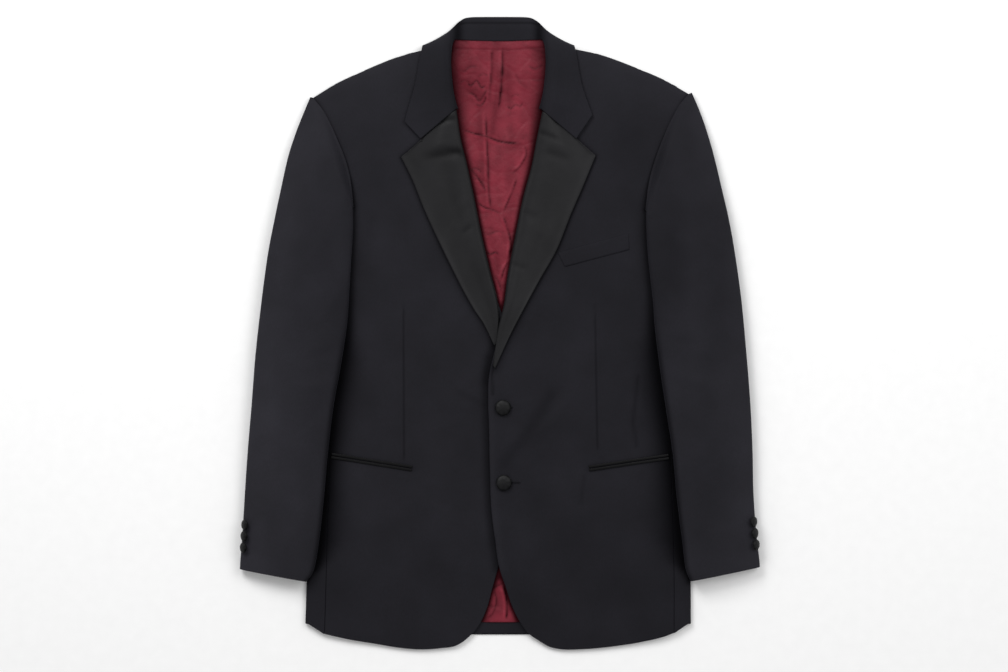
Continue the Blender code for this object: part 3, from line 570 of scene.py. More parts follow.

# Creases of the lining: how far each spreads on its two sides, and the painted shade and painted highlight it
# puts on the cloth
CREASE_GROWS = (0.0, 0.15)
CREASE_FADES = (0.8, 1.0)
CREASE_UNEVEN = {"least": 0.8, "height": 0.6, "size": 13.0}
CREASE_SPREAD = {"high": 2.6, "low": 1.4}
CREASE_LOW = 0.7
CREASE_HEIGHT = 0.8
CREASE_DARK = 0.66
CREASE_DARK_PAST = 0.9
CREASE_DARK_POWER = 1.6
CREASE_DARK_HIGH_SIDE = 0.55
CREASE_DARKEST = 0.8
CREASE_LIGHT = (0.3, 2.6, 1.8)  # its strength, its distance and its half width

# The lining's grid, as stretches with their steps, and the crumples of its free part: size, height and seed
LINING_ACROSS = ((0.0, 0.32, 9), (0.32, 0.68, 118), (0.68, 1.0, 9))
LINING_UP = ((0.0, 0.1, 46), (0.1, 0.52, 10), (0.52, 1.0, 270))
LINING_FREE = (-4.0, 5.0)
LINING_FREE_RISE = 0.35
LINING_HELD = 0.14
LINING_RELIEF = (-1.0, 2.8)
# The lining's overall lightness, the least that its painted shade leaves, and its streaks of tone
LINING_LIGHT = 1.04
LINING_DARKEST = 0.16
LINING_STREAKS = {"height": 0.2, "squeeze": 0.16, "size": 11.0}
CRUMPLES = ((30.0, 0.55, 4.0), (15.0, 0.28, 11.0))
CRUMPLE_BEND = 7.0
CRUMPLE_BEND_SIZE = 24.0
CRUMPLE_SHARPNESS = 7.0
YOKE_PASSAGE = 3.0
YOKE_RISE = 0.3
YOKE_DEPTH = 0.4
YOKE_HALF_WIDTH = 0.9
YOKE_DARK = 0.28
YOKE_DARK_WIDTH = 1.0
HEM_TURN_UP_GAP = 0.05
HEM_TURN_UP_INSET = 0.5
HEM_TURN_UP_UNDER = 8.0

# Sleeves: the grid across, the turned edges where top and under sleeve meet, and the reach of the head
SLEEVE_ACROSS = ((0.0, 0.16, 8), (0.16, 0.84, 43), (0.84, 1.0, 8))
SLEEVE_FINE_ROOM = 0.3
EDGE_TURNS = np.array((0.0, 0.3, 0.65))
LAP_EASE = 0.4
LAP_EASE_ACROSS = (0.7, 0.95)
# Where painted shade darkens a sleeve's inner edge, the sleeve's streaks of tone, and its painted light, more
# towards the cuff
SLEEVE_EDGE_Y = (-60.0, 60.0)
SLEEVE_EDGE_ACROSS = (0.93, 1.0)
SLEEVE_STREAKS = {"height": 0.1, "squeeze": 0.2, "size": 26.0}
SLEEVE_LIGHT_DOWN = {"y": (-320.0, -100.0, 120.0, 300.0), "light": (1.16, 1.08, 0.94, 0.94)}

# Lapels, as shares from the roll line to the outer edge
GORGE_REACH_ENDS = (0.8, 1.0)
LAPEL_EDGE_RISE = 0.9
LAPEL_EDGE_ACROSS = (0.86, 1.0)
# Where the painted shade along a lapel's roll fades out
LAPEL_ROLL_ACROSS = (0.03, 0.16)
LIP_TURNS = (0.0, 0.25, 0.5, 0.75)
LIP_INSET = 0.9
# How much painted shade darkens the satin in its dents
DENT_SHADE = 0.28

# Collar: its section's points, the seam of its stand, and where it turns at the neck and rolls on the front
COLLAR_SHARES = (0.0, 0.008, 0.02, 0.04, *np.linspace(0.06, 0.94, 52), 0.965, 0.98, 0.99, 1.0)
STAND_SEAM_WIDTH = 1.3
STAND_SEAM_ENDS = (44.0, 54.0)
STAND_SEAM_DEPTH = 0.45
COLLAR_TURN_Y = (368.0, 384.0)
COLLAR_TURN_AT = 53.0
COLLAR_TURN_WIDTH = 7.0
COLLAR_ROLL_AT = 57.0
COLLAR_ROLL_WIDTH = 4.0
# Painted shade where the collar turns at the neck and rolls on the front, and a darker line along the seam of
# its stand
COLLAR_SHADES = {"turned": 0.66, "rolled": 0.3, "stand": 0.4}

# Welt and jets
WELT_LIFT = 0.6
WELT_CROWN = 0.35
JET_LIFT = 0.3
JET_CROWN = 0.7

# Covered buttons: the turn of the cloth from the crown to under the rim, and its small gathers
DOME_RINGS = 26
DOME_SPOKES = 72
DOME_TURN = math.radians(152.0)
DOME_BASE = 0.42
DOME_NECK = 0.72
DOME_TUCK = 1.12
GATHERS = ((11.0, 1.0, 0.132), (17.0, 2.0, 0.088))  # how many, their turn by the button's seed, and height
GATHER_PASSAGE = (0.42, 0.72)
LUMP_HEIGHT = 0.16
LUMP_SIZE = 3.2
# Painted light on a button's upper left side, and painted shade and light of its folds and under its rim
BUTTON_LIGHT = 0.86
BUTTON_LIT_SIDE = 0.2
BUTTON_FOLDS = 0.1
BUTTON_RIM_SHADE = 0.34
BUTTON_RIM = (0.74, 1.0)

# Worked buttonholes
BUTTONHOLE_START = 4.0
BUTTONHOLE_HALF = 0.75
STITCH_LEAN = 0.12
STITCH_RISE = 0.28
STITCH_RADIUS = 0.5

# Looks: colours, the size and detail of each noise, and the strength and depth of each bump in metres
SATIN = {
    "colour": (0.0098, 0.0097, 0.0108), "tones": ((0.3, 0.82), (0.5, 1.0), (0.7, 1.2)), "shine": 0.16,
    "stretch": 0.06, "threads": (2600.0, 1.0), "thread_share": 0.0, "uneven": (22.0, 3.0),
    "rough": (0.44, 0.54), "swells": (65.0, 2.0), "swell_bump": (0.22, 0.0012),
    "thread_bump": (0.22, 0.00008), "weave_bump": (),
    "surface": {"Anisotropic": 0.35, "Sheen Weight": 0.04, "Sheen Roughness": 0.35},
}
CLOTHS = {
    "satin": SATIN,
    "button": {**SATIN, "colour": (0.0084, 0.0085, 0.0092)},
    "wool": {
        "colour": (0.0100, 0.0096, 0.0128), "tones": ((0.34, 0.72), (0.5, 1.0), (0.66, 1.34)), "shine": 0.12,
        "stretch": 0.22, "threads": (1400.0, 2.0, 0.7), "thread_share": 0.55, "uneven": (14.0, 3.0),
        "rough": (0.72, 0.86), "swells": (120.0, 3.0), "swell_bump": (0.20, 0.0012),
        "thread_bump": (0.30, 0.00018), "weave_bump": (0.35, 0.00012),
        "surface": {"Sheen Weight": 0.06, "Sheen Roughness": 0.42, "Sheen Tint": (0.62, 0.62, 0.80, 1.0)},
    },
    "lining": {
        "colour": (0.150, 0.0118, 0.0230), "tones": ((0.32, 0.74), (0.5, 1.0), (0.68, 1.2)), "shine": 0.18,
        "stretch": 0.08, "threads": (2400.0, 1.0), "thread_share": 0.3, "uneven": (34.0, 4.0, 0.6),
        "rough": (0.44, 0.56), "swells": (150.0, 4.0, 0.6), "swell_bump": (0.45, 0.0016),
        "thread_bump": (0.2, 0.00008), "weave_bump": (),
        "surface": {"Sheen Weight": 0.05, "Sheen Tint": (1.0, 0.55, 0.62, 1.0)},
    },
}
ROUGH_THREADS = (0.3, 0.7)
TWILL = {"turn": 58.0, "ribs": 420.0, "picks": 520.0}
SLEEVE_GRAIN = {"right": -9.0, "left": 9.0}
LAPEL_GRAIN = {"right": 14.0, "left": -13.0}

# The floor, the lamps' places, sizes and powers, and the photograph's frame on the plane at the height of the
# jacket's outline, all in metres
FLOOR_SIZE = 6.0
FLOOR_DROP = 0.0004
FLOOR_WHITES = ((0.2, 0.93), (0.8, 0.96))
SKY_LIGHT = 0.5
LAMPS = (("key", (-1.1, 1.7, 2.0), 1.3, 44.0), ("fill", (1.4, 0.9, 2.2), 1.6, 24.0))
LENS = 100.0
SENSOR = 36.0
FRAME_WIDTH = 1.3104
FRAME_CENTRE = (0.00507, -0.0029)
CAMERA_PLANE = 0.008


# Measures


def smooth(low, high, value):
    """0 below low and 1 above high, with an even passage between."""
    share = np.clip((np.asarray(value, float) - low) / (high - low), 0.0, 1.0)
    return share * share * (3.0 - 2.0 * share)


def bell(distance, width, power=2.0):
    """1 where the distance is 0, falling towards 0 past the width."""
    return np.exp(-((np.abs(distance) / width) ** power))


def hermite(knots, points, slopes, at):
    k = min(max(int(np.searchsorted(knots, at, side="right")) - 1, 0), len(knots) - 2)
    step = knots[k + 1] - knots[k]
    t = (at - knots[k]) / step
    return (
        (2 * t**3 - 3 * t**2 + 1) * points[k]
        + (t**3 - 2 * t**2 + t) * step * slopes[k]
        + (3 * t**2 - 2 * t**3) * points[k + 1]
        + (t**3 - t**2) * step * slopes[k + 1]
    )


def joined(points, knots, corners):
    """Smooth runs through the points, from one corner to the next, as a function of the knots' value."""
    cuts = [0, *corners, len(points) - 1]
    runs = []
    for first, last in zip(cuts, cuts[1:]):
        run = slice(first, last + 1)
        runs.append((knots[run], points[run], np.gradient(points[run], knots[run], axis=0)))

    def at(value):
        for run_knots, run_points, slopes in runs[:-1]:
            if value <= run_knots[-1]:
                return hermite(run_knots, run_points, slopes, value)
        return hermite(*runs[-1], min(value, knots[-1]))

    return at


def curve(points, corners=()):
    """A smooth curve through the points, as a function of the share of its length."""
    points = np.array(points, float)
    knots = np.concatenate([[0.0], np.cumsum(np.linalg.norm(np.diff(points, axis=0), axis=1))])
    at = joined(points, knots, corners)
    return lambda share: at(share * knots[-1])


def through(rows, corners=()):
    """A smooth curve through the rows of a table, as a function of the row's number."""
    rows = np.array(rows, float)
    return joined(rows, np.arange(len(rows), dtype=float), corners)


def sampled(at, shares):
    return np.array([at(share) for share in shares])


def share_of(points, index):
    """The share of a line's length at which one of its points lies."""
    lengths = np.linalg.norm(np.diff(np.array(points, float), axis=0), axis=1)
    return float(lengths[:index].sum() / lengths.sum())


def patch(bottom, top, start, end, us, vs):
    """The flat patch between four curves, as x and y over a grid: a row for each v, a column for each u."""
    u, v = np.array(us)[None, :, None], np.array(vs)[:, None, None]
    low, high = sampled(bottom, us)[None], sampled(top, us)[None]
    first, last = sampled(start, vs)[:, None], sampled(end, vs)[:, None]
    corners = (1 - u) * (1 - v) * start(0) + (1 - u) * v * start(1) + u * (1 - v) * end(0) + u * v * end(1)
    both = (1 - v) * low + v * high + (1 - u) * first + u * last - corners
    return both[..., 0], both[..., 1]


def ticks(length, step, cuts=(0.0, 1.0), fine=()):
    """Shares along a length: close together at both ends and in the fine stretch, and one on each cut."""
    shares = []
    for low, high in zip(cuts, cuts[1:]):
        count = max(int(round((high - low) * length / step)), 1)
        shares += [low + (high - low) * i / count for i in range(count)]
    shares.append(1.0)
    if fine:
        low, high, count = fine
        shares = [share for share in shares if not low < share < high]
        shares = sorted([*shares, *np.linspace(low, high, count)])
    near = [tick / length for tick in EDGE_TICKS]
    room = EDGE_TICK_ROOM * near[-1]
    inner = [share for share in shares if room < share < 1.0 - room]
    return [0.0, *near, *inner, *[1.0 - tick for tick in near[::-1]], 1.0]


def stretches(runs):
    """Shares over several stretches, each with its start, its end and how many steps it has."""
    steps = [np.linspace(low, high, count + 1)[:-1] for low, high, count in runs]
    return np.append(np.concatenate(steps), 1.0)


def signed(side, points):
    return [(SIDES[side] * x, y) for x, y in points]


def to_line(points, x, y):
    """How far each place is from a bent line, which side it is on, and its share along it."""
    best = np.full(np.shape(x), 1e9)
    sign, where = np.ones(np.shape(x)), np.zeros(np.shape(x))
    points = np.array(points, float)
    lengths = np.linalg.norm(np.diff(points, axis=0), axis=1)
    done = 0.0
    for (ax, ay), (bx, by), length in zip(points, points[1:], lengths):
        share = np.clip(((x - ax) * (bx - ax) + (y - ay) * (by - ay)) / length**2, 0.0, 1.0)
        away_x, away_y = x - ax - share * (bx - ax), y - ay - share * (by - ay)
        away = np.hypot(away_x, away_y)
        nearer = away < best
        best = np.where(nearer, away, best)
        sign = np.where(nearer, np.sign(away_x * (by - ay) - away_y * (bx - ax)), sign)
        where = np.where(nearer, (done + share * length) / lengths.sum(), where)
        done += length
    return best, sign, where


def beside(points, x, y, width, depth, power=1.5):
    """How light the cloth is beside a line: darkest on it, and full past a few widths."""
    return 1.0 - depth * bell(to_line(points, x, y)[0], width, power)


def ripple(x, y, size, seed):
    """Soft unevenness from -1 to 1, about one swell in each size."""
    places = zip(np.ravel(x), np.ravel(y))
    values = [noise.noise((a / size + seed, b / size - seed, seed * 0.7)) for a, b in places]
    return np.reshape(values, np.shape(x))


def uneven(x, y, swells, sign=0):
    """The sum of ripples, each with its size, its height, its seed, and 1 where the two sides differ."""
    return sum(height * ripple(x, y, size, seed + sign * differs) for size, height, seed, differs in swells)


def fold_height(folds, x, y):
    """The height of soft ridges and troughs at each place."""
    height = 0.0
    for start_x, start_y, end_x, end_y, half_width, rise in folds:
        along_x, along_y = end_x - start_x, end_y - start_y
        length = math.hypot(along_x, along_y)
        share = ((x - start_x) * along_x + (y - start_y) * along_y) / length**2
        aside = ((x - start_x) * along_y - (y - start_y) * along_x) / length
        fade = smooth(*FOLD_GROWS, share) * (1.0 - smooth(*FOLD_FADES, share))
        height = height + rise * fade * bell(aside, half_width)
    return height


# Heights and edges that several pieces share


def neck_lift(x, y, layer=0):
    spread = NECK_LIFT_LAYER * layer
    across = 1.0 - smooth(*NECK_LIFT_ACROSS, np.abs(x - COLLAR_CENTRE) - spread)
    return NECK_LIFT * smooth(*NECK_LIFT_Y, y + spread) * across


def front_height(side, x, y):
    """The height of a front's outer face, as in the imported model."""
    out = np.abs(x)
    lift = neck_lift(x, y, 2)
    height = FRONT_TOP + lift + fold_height(FRONT_FOLDS[side], x, y)
    height = height + SIDE_PUFF * smooth(*SIDE_PUFF_ACROSS, out) * (1.0 - smooth(*SIDE_PUFF_FADE_Y, y))
    height = height + SHOULDER_PUFF * smooth(*SHOULDER_PUFF_Y, y) * smooth(*SHOULDER_PUFF_ACROSS, out)
    chest_x = (out - CHEST_CENTRE[0]) / CHEST_SPREAD[0]
    chest_y = (y - CHEST_CENTRE[1]) / CHEST_SPREAD[1]
    height = height + CHEST_PUFF * np.exp(-(chest_x**2) - chest_y**2)
    if side == "left":
        overlap = (1.0 - smooth(*OVERLAP_ACROSS, x)) * (1.0 - smooth(*OVERLAP_FADE_Y, y))
        height = height + OVERLAP_RISE * overlap
    under_seam = np.maximum(np.interp(out, *zip(*SHOULDER[side])) - y, 0.0)
    rounding = 1.0 - np.minimum(under_seam / SHOULDER_ROUND, 1.0)
    edge = SHOULDER_EDGE + lift
    return edge + (height - edge) * np.sqrt(1.0 - rounding**2)


def front_relief(side, x, y):
    """What a front's finer folds, its dart and the drag of the cloth add to its height."""
    height = fold_height(FINE_FRONT_FOLDS[side], x, y) + uneven(x, y, FRONT_SWELLS, SIDES[side])
    away, hand, along = to_line(DARTS[side], x, y)
    inside = smooth(*DART_GROWS, along) * (1.0 - smooth(*DART_ENDS, along))
    rise, place, half_width = DART_RIDGE
    ridge = rise * bell(away * hand * -SIDES[side] - place, half_width)
    height = height + inside * (ridge - DART_DEPTH * bell(away, DART_HALF_WIDTH))
    if side == "left":
        edge_away, _, _ = to_line(FRONT_EDGE[side][EDGE_RIDGE_POINTS], x, y)
        for rise, place, half_width in EDGE_RIDGES:
            height = height + rise * bell(edge_away - place, half_width)
    return np.maximum(height, LEAST_RELIEF)


def sleeve_shade(side, x, y):
    """The deep shade that a sleeve throws on the body beside its inner edge."""
    inner = signed(side, [row[2:4] for row in SLEEVE[side]])
    width = np.interp(y, SLEEVE_SHADE["y"], SLEEVE_SHADE["width"]) * SLEEVE_SHADE_SPREAD[side]
    depth = SLEEVE_SHADE_DEPTH * (1.0 - SLEEVE_SHADE_FADE * smooth(*SLEEVE_SHADE_FADE_Y, y))
    return beside(inner, x, y, width, depth, 2.0)


def side_edge(side, lap=0.0):
    points = [(x + lap, y) for x, y in (HEM[side][-1], *SIDE_SEAM[:-1])] + [SIDE_SEAM[-1], *ARMHOLE[side]]
    corners = (len(SIDE_SEAM) - 1, len(SIDE_SEAM) + 1)
    return curve(signed(side, points), corners), [share_of(points, corner) for corner in corners]


def front_edge(side):
    inset = SIDES[side] * ROLL_INSET
    start = ROLL_STARTS_Y[side]
    edge = []
    for x, y in FRONT_EDGE[side]:
        eased = EDGE_EASE[side] * bell(y - EDGE_EASE_Y, EDGE_EASE_SPREAD)
        edge.append((x + inset * float(smooth(start, start + ROLL_PASSAGE, y)) + eased, y))
    return edge


def lapel_rows(side):
    return [FINE_LAPEL_ROWS[side].get(number, row) for number, row in enumerate(LAPEL[side])]


# Making pieces


def solid(name, points, faces, look, shade, place=(0.0, 0.0, 0.0), tilt=0.0):
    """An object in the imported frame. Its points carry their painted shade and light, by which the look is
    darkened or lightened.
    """
    mesh = bpy.data.meshes.new(name)
    mesh.from_pydata((np.array(points, float) * MM).tolist(), [], faces)
    mesh.shade_smooth()
    mesh.materials.append(look)
    shades = np.clip(np.broadcast_to(shade, len(points)), *SHADE_RANGE)
    mesh.attributes.new("shade", "FLOAT", "POINT").data.foreach_set("value", shades)
    made = bpy.data.objects.new(name, mesh)
    made.location = [value * MM for value in place]
    made.rotation_euler = (0.0, tilt, 0.0)
    bpy.context.scene.collection.objects.link(made)
    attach(made, "root")
    return made


def shell(name, node, grid, wall, cloth, upward=True, centred=False, rims=(ROUND_RIM,) * 4, shade=1.0):
    """A closed sheet of cloth. The grid is its outer face, or its middle when centred.

    Rims say how far its start, end, low and high edges are rounded, in walls. Shade is painted shade and
    light by place.
    """
    grid = np.array(grid, float)
    rows, columns = grid.shape[:2]
    normal = np.cross(np.gradient(grid, axis=1), np.gradient(grid, axis=0))
    normal /= np.maximum(np.linalg.norm(normal, axis=2, keepdims=True), 1e-9)
    flipped = (normal[rows // 2, columns // 4, 2] > 0) != upward
    if flipped:
        normal = -normal
    across = np.linalg.norm(np.diff(grid, axis=1), axis=2)
    down = np.linalg.norm(np.diff(grid, axis=0), axis=2)
    from_start = np.concatenate([np.zeros((rows, 1)), np.cumsum(across, axis=1)], axis=1)
    from_low = np.concatenate([np.zeros((1, columns)), np.cumsum(down, axis=0)], axis=0)
    distances = (from_start, from_start[:, -1:] - from_start, from_low, from_low[-1:] - from_low)
    near = np.minimum.reduce([distance / (wall * rim) for distance, rim in zip(distances, rims)])
    round_off = np.sqrt(1.0 - (1.0 - np.clip(near, 0.0, 1.0)) ** 2)
    half = wall / 2 * np.maximum(round_off, LEAST_RIM)[..., None]
    middle = grid if centred else grid - normal * wall / 2
    two_faces = (middle + normal * half, middle - normal * half)
    points = np.concatenate([face.reshape(-1, 3) for face in two_faces])
    size = rows * columns
    first = (np.arange(rows - 1)[:, None] * columns + np.arange(columns - 1)[None, :]).ravel()
    quads = np.stack([first, first + 1, first + columns + 1, first + columns], axis=1)
    loop = [
        *range(columns), *range(2 * columns - 1, size, columns),
        *range(size - 2, size - columns - 1, -1), *range(size - 2 * columns, 0, -columns),
    ]
    rim_faces = [[b, a, a + size, b + size] for a, b in zip(loop, loop[1:] + loop[:1])]
    faces = quads.tolist() + (quads[:, ::-1] + size).tolist() + rim_faces
    if flipped:
        faces = [face[::-1] for face in faces]
    made = solid(name, points, faces, cloth, np.tile(np.broadcast_to(shade, (rows, columns)).ravel(), 2))
    if node:
        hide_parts(node)
    return made, grid


def declare(made, grid, held, rests_on=(), with_pieces=()):
    """Works out the steps along the face's rows and columns and the sheet's own area, and does nothing more
    with them.
    """
    across = np.linalg.norm(np.diff(grid, axis=1), axis=2)
    down = np.linalg.norm(np.diff(grid, axis=0), axis=2)
    a, b = grid[1:, 1:] - grid[:-1, :-1], grid[1:, :-1] - grid[:-1, 1:]
    area = float(np.linalg.norm(np.cross(a, b), axis=2).sum() / 2) * MM**2
    list(rests_on)
    list(with_pieces)


# Back, side panels and fronts


def add_back(side, cloth):
    sign = SIDES[side]
    seam = sign * SEAM / 2
    edge_x = SIDE_UNDER_X - SEAM
    outer = [(edge_x, BACK_HEM_Y), (edge_x, BACK_UNDERARM_Y), *ARMHOLE[side]]
    cuts = (0.0, share_of(outer, 1), share_of(outer, 2), 1.0)
    nape = (COLLAR_CENTRE + seam, BACK_NECK_Y - NAPE_DIP)
    x, y = patch(
        curve([(seam, BACK_HEM_Y), (sign * edge_x, BACK_HEM_Y)]),
        curve([nape, (sign * BACK_NECK_HALF, BACK_NECK_Y), *signed(side, SHOULDER[side])]),
        curve([(seam, BACK_HEM_Y), nape]),
        curve(signed(side, outer), corners=(1, 2)),
        ticks(200.0, 6.0), ticks(800.0, 7.0, cuts),
    )
    grid = np.stack([x, y, BACK_TOP + neck_lift(x, y)], axis=2)
    declare(*shell(f"back_{side}_cloth", f"back_{side}", grid, FINE_WALL["back"], cloth), "laid")


def side_row(side, seam, v):
    """One row of a side panel: its allowance, its top, the fold at the body's side, and its underside."""
    seam_x, seam_y = seam(v)
    y = HEM_CORNER_Y + (UNDERARM_Y - HEM_CORNER_Y) * v
    fold_x = np.interp(y, SIDE_FOLD["y"], SIDE_FOLD[side])
    under_y = BACK_HEM_Y + (BACK_UNDERARM_Y - BACK_HEM_Y) * v
    radius = SIDE_TOP / 2
    turn_x = fold_x - radius
    soft = SIDE_SOFTNESS * noise.noise((0.0, y / SIDE_SOFT_SIZE, SIDES[side] * 5.0))
    on_seam = (np.array(SIDES[side] * seam_x), np.array(seam_y))
    lift = 0.0 if v > SIDE_LIFT_ENDS else float(front_relief(side, *on_seam))
    start_x = seam_x + SIDE_TURN_IN[-1][0]
    row = [(seam_x + out, seam_y, SIDE_TOP + lift + drop) for out, drop in SIDE_TURN_IN]
    for t in SIDE_TOP_SHARES:
        row.append((start_x + (turn_x - start_x) * t, seam_y + (y - seam_y) * t, SIDE_TOP + lift * (1.0 - t)))
    for turn in np.radians(np.linspace(90.0, -90.0, SIDE_FOLD_POINTS)):
        row.append((turn_x + (radius + soft) * math.cos(turn), y, radius + radius * math.sin(turn)))
    for t in np.linspace(0.0, 1.0, SIDE_UNDER_POINTS)[1:]:
        row.append((turn_x + (SIDE_UNDER_X - turn_x) * t, y + (under_y - y) * t, 0.0))
    return row


def add_side(side, cloth):
    seam = curve([HEM[side][-1], *SIDE_SEAM[:-1]])
    grid = np.array([side_row(side, seam, v) for v in ticks(500.0, 5.0)]) * (SIDES[side], 1, 1)
    shade = np.where(grid[..., 2] > SIDE_SHADE_Z, sleeve_shade(side, grid[..., 0], grid[..., 1]), 1.0)
    made, grid = shell(
        f"side_{side}_cloth", f"side_{side}", grid, FINE_WALL["side"], cloth, shade=shade
    )
    declare(made, grid, "folded", [f"back_{side}_cloth"])


def front_shade(side, x, y, pocket_away):
    """How light a front is painted at each place: its painted light, the painted shade of what lies on it,
    and of its soft folds.
    """
    lapel_edge = signed(side, [row[2:] for row in lapel_rows(side)])
    lapel_width = np.interp(y, LAPEL_SHADE["y"], LAPEL_SHADE["width"])
    # Painted light, more towards the shoulders and less towards the hem
    painted_light_and_tone = FRONT_LIGHT[side] + SHOULDER_LIGHT * smooth(*SHOULDER_LIGHT_Y, y)
    painted_light_and_tone = painted_light_and_tone - HEM_SHADE * smooth(*HEM_SHADE_Y, y)
    shade = painted_light_and_tone * sleeve_shade(side, x, y) * (1.0 - POCKET_SHADE[1] * bell(pocket_away, POCKET_SHADE[0]))
    shade = shade * beside(lapel_edge, x, y, lapel_width, LAPEL_SHADE_DEPTH)
    shade = shade * beside(DARTS[side], x, y, *DART_SHADE)
    for points, width, depth in [(signed(side, ARMHOLE[side]), *ARMHOLE_SHADE), *FRONT_SHADES[side]]:
        shade = shade * beside(points, x, y, width, depth, 2.0)
    # Painted shadow of the left front's closed edge on the right front, and a painted highlight beside that
    # edge on the left front
    edge = [point for point in FRONT_EDGE["left"] if EDGE_SHADE_Y[0] < point[1] < EDGE_SHADE_Y[1]]
    if side == "right":
        return shade * beside(edge, x, y, EDGE_SHADE_WIDTH, EDGE_SHADE_DEPTH, 3.0)
    light, place, half_width = EDGE_LIGHT
    return shade * (1.0 + light * bell(to_line(edge, x, y)[0] - place, half_width))


def add_front(side, cloth, satin_cloth):
    edge, corners = side_edge(side, FRONT_LAP)
    x, y = patch(
        curve(signed(side, HEM[side])),
        curve([front_edge(side)[-1], *signed(side, SHOULDER[side][1:])]),
        curve(front_edge(side)),
        edge,
        ticks(215.0, 3.0, fine=DART_STRETCH[side]), ticks(820.0, ROLL_STEP, (0.0, *corners, 1.0)),
    )
    armhole_away, _, _ = to_line(signed(side, ARMHOLE[side]), x, y)
    pocket_away, _, along = to_line(signed(side, HIP_POCKET[side]), x, y)
    height = front_height(side, x, y) + front_relief(side, x, y)
    height = height - ARMHOLE_DIP[1] * bell(armhole_away, ARMHOLE_DIP[0])
    inside = 1.0 - smooth(*POCKET_DIP_ENDS, along)
    height = height - POCKET_DIP[1] * bell(pocket_away, POCKET_DIP[0]) * inside
    made, grid = shell(
        f"front_{side}_cloth", f"front_{side}", np.stack([x, y, height], axis=2), FINE_WALL["front"],
        cloth, rims=SEAM_RIMS, shade=front_shade(side, x, y, pocket_away),
    )
    declare(made, grid, "laid", ["back_lining_cloth"], add_hip_pocket(side, satin_cloth))


# Lining and turned-up hem


def crease(x, y, points, half_width, rise):
    """What one crease of the lining adds to its height, and the painted shade along it and the painted
    highlight on its higher side.
    """
    line = sampled(curve(points), np.linspace(0.0, 1.0, 5 * len(points)))
    away, hand, along = to_line(line, x, y)
    high_side = hand > 0
    rise = rise * smooth(*CREASE_GROWS, along) * (1.0 - smooth(*CREASE_FADES, along)) * (
        CREASE_UNEVEN["least"] + CREASE_UNEVEN["height"] * ripple(x, y, CREASE_UNEVEN["size"], rise * 7.0)
    )
    high = bell(away, CREASE_SPREAD["high"] * half_width, 1.0)
    low = -CREASE_LOW * bell(away, CREASE_SPREAD["low"] * half_width, 1.0)
    dark = CREASE_DARK * bell(away, half_width + CREASE_DARK_PAST, CREASE_DARK_POWER)
    light, place, light_width = CREASE_LIGHT
    return (
        CREASE_HEIGHT * rise * np.where(high_side, high, low),
        rise * dark * np.where(high_side, CREASE_DARK_HIGH_SIDE, 1.0),
        rise * light * bell(away - place, light_width) * high_side,
    )


def lining_edges():
    """The lining's right and left edges and its top, as curves."""
    sides, shoulders = {}, {}
    for side in SIDES:
        reach = SIDE_UNDER_X - LINING_INSET
        hole = [(x - LINING_INSET, y - LINING_INSET / 2) for x, y in ARMHOLE[side][:5]]
        sides[side] = curve(signed(side, [(reach, y) for y in (LINING_HEM_Y, *LINING_SIDE_YS)] + hole))
        shoulders[side] = signed(side, [(x, y - LINING_SHOULDER_DROP) for x, y in SHOULDER[side][2:4]])
    right, left = sides["right"], sides["left"]
    top = [right(1), *shoulders["right"][::-1], *LINING_NECK, *shoulders["left"], left(1)]
    return right, left, curve(top)


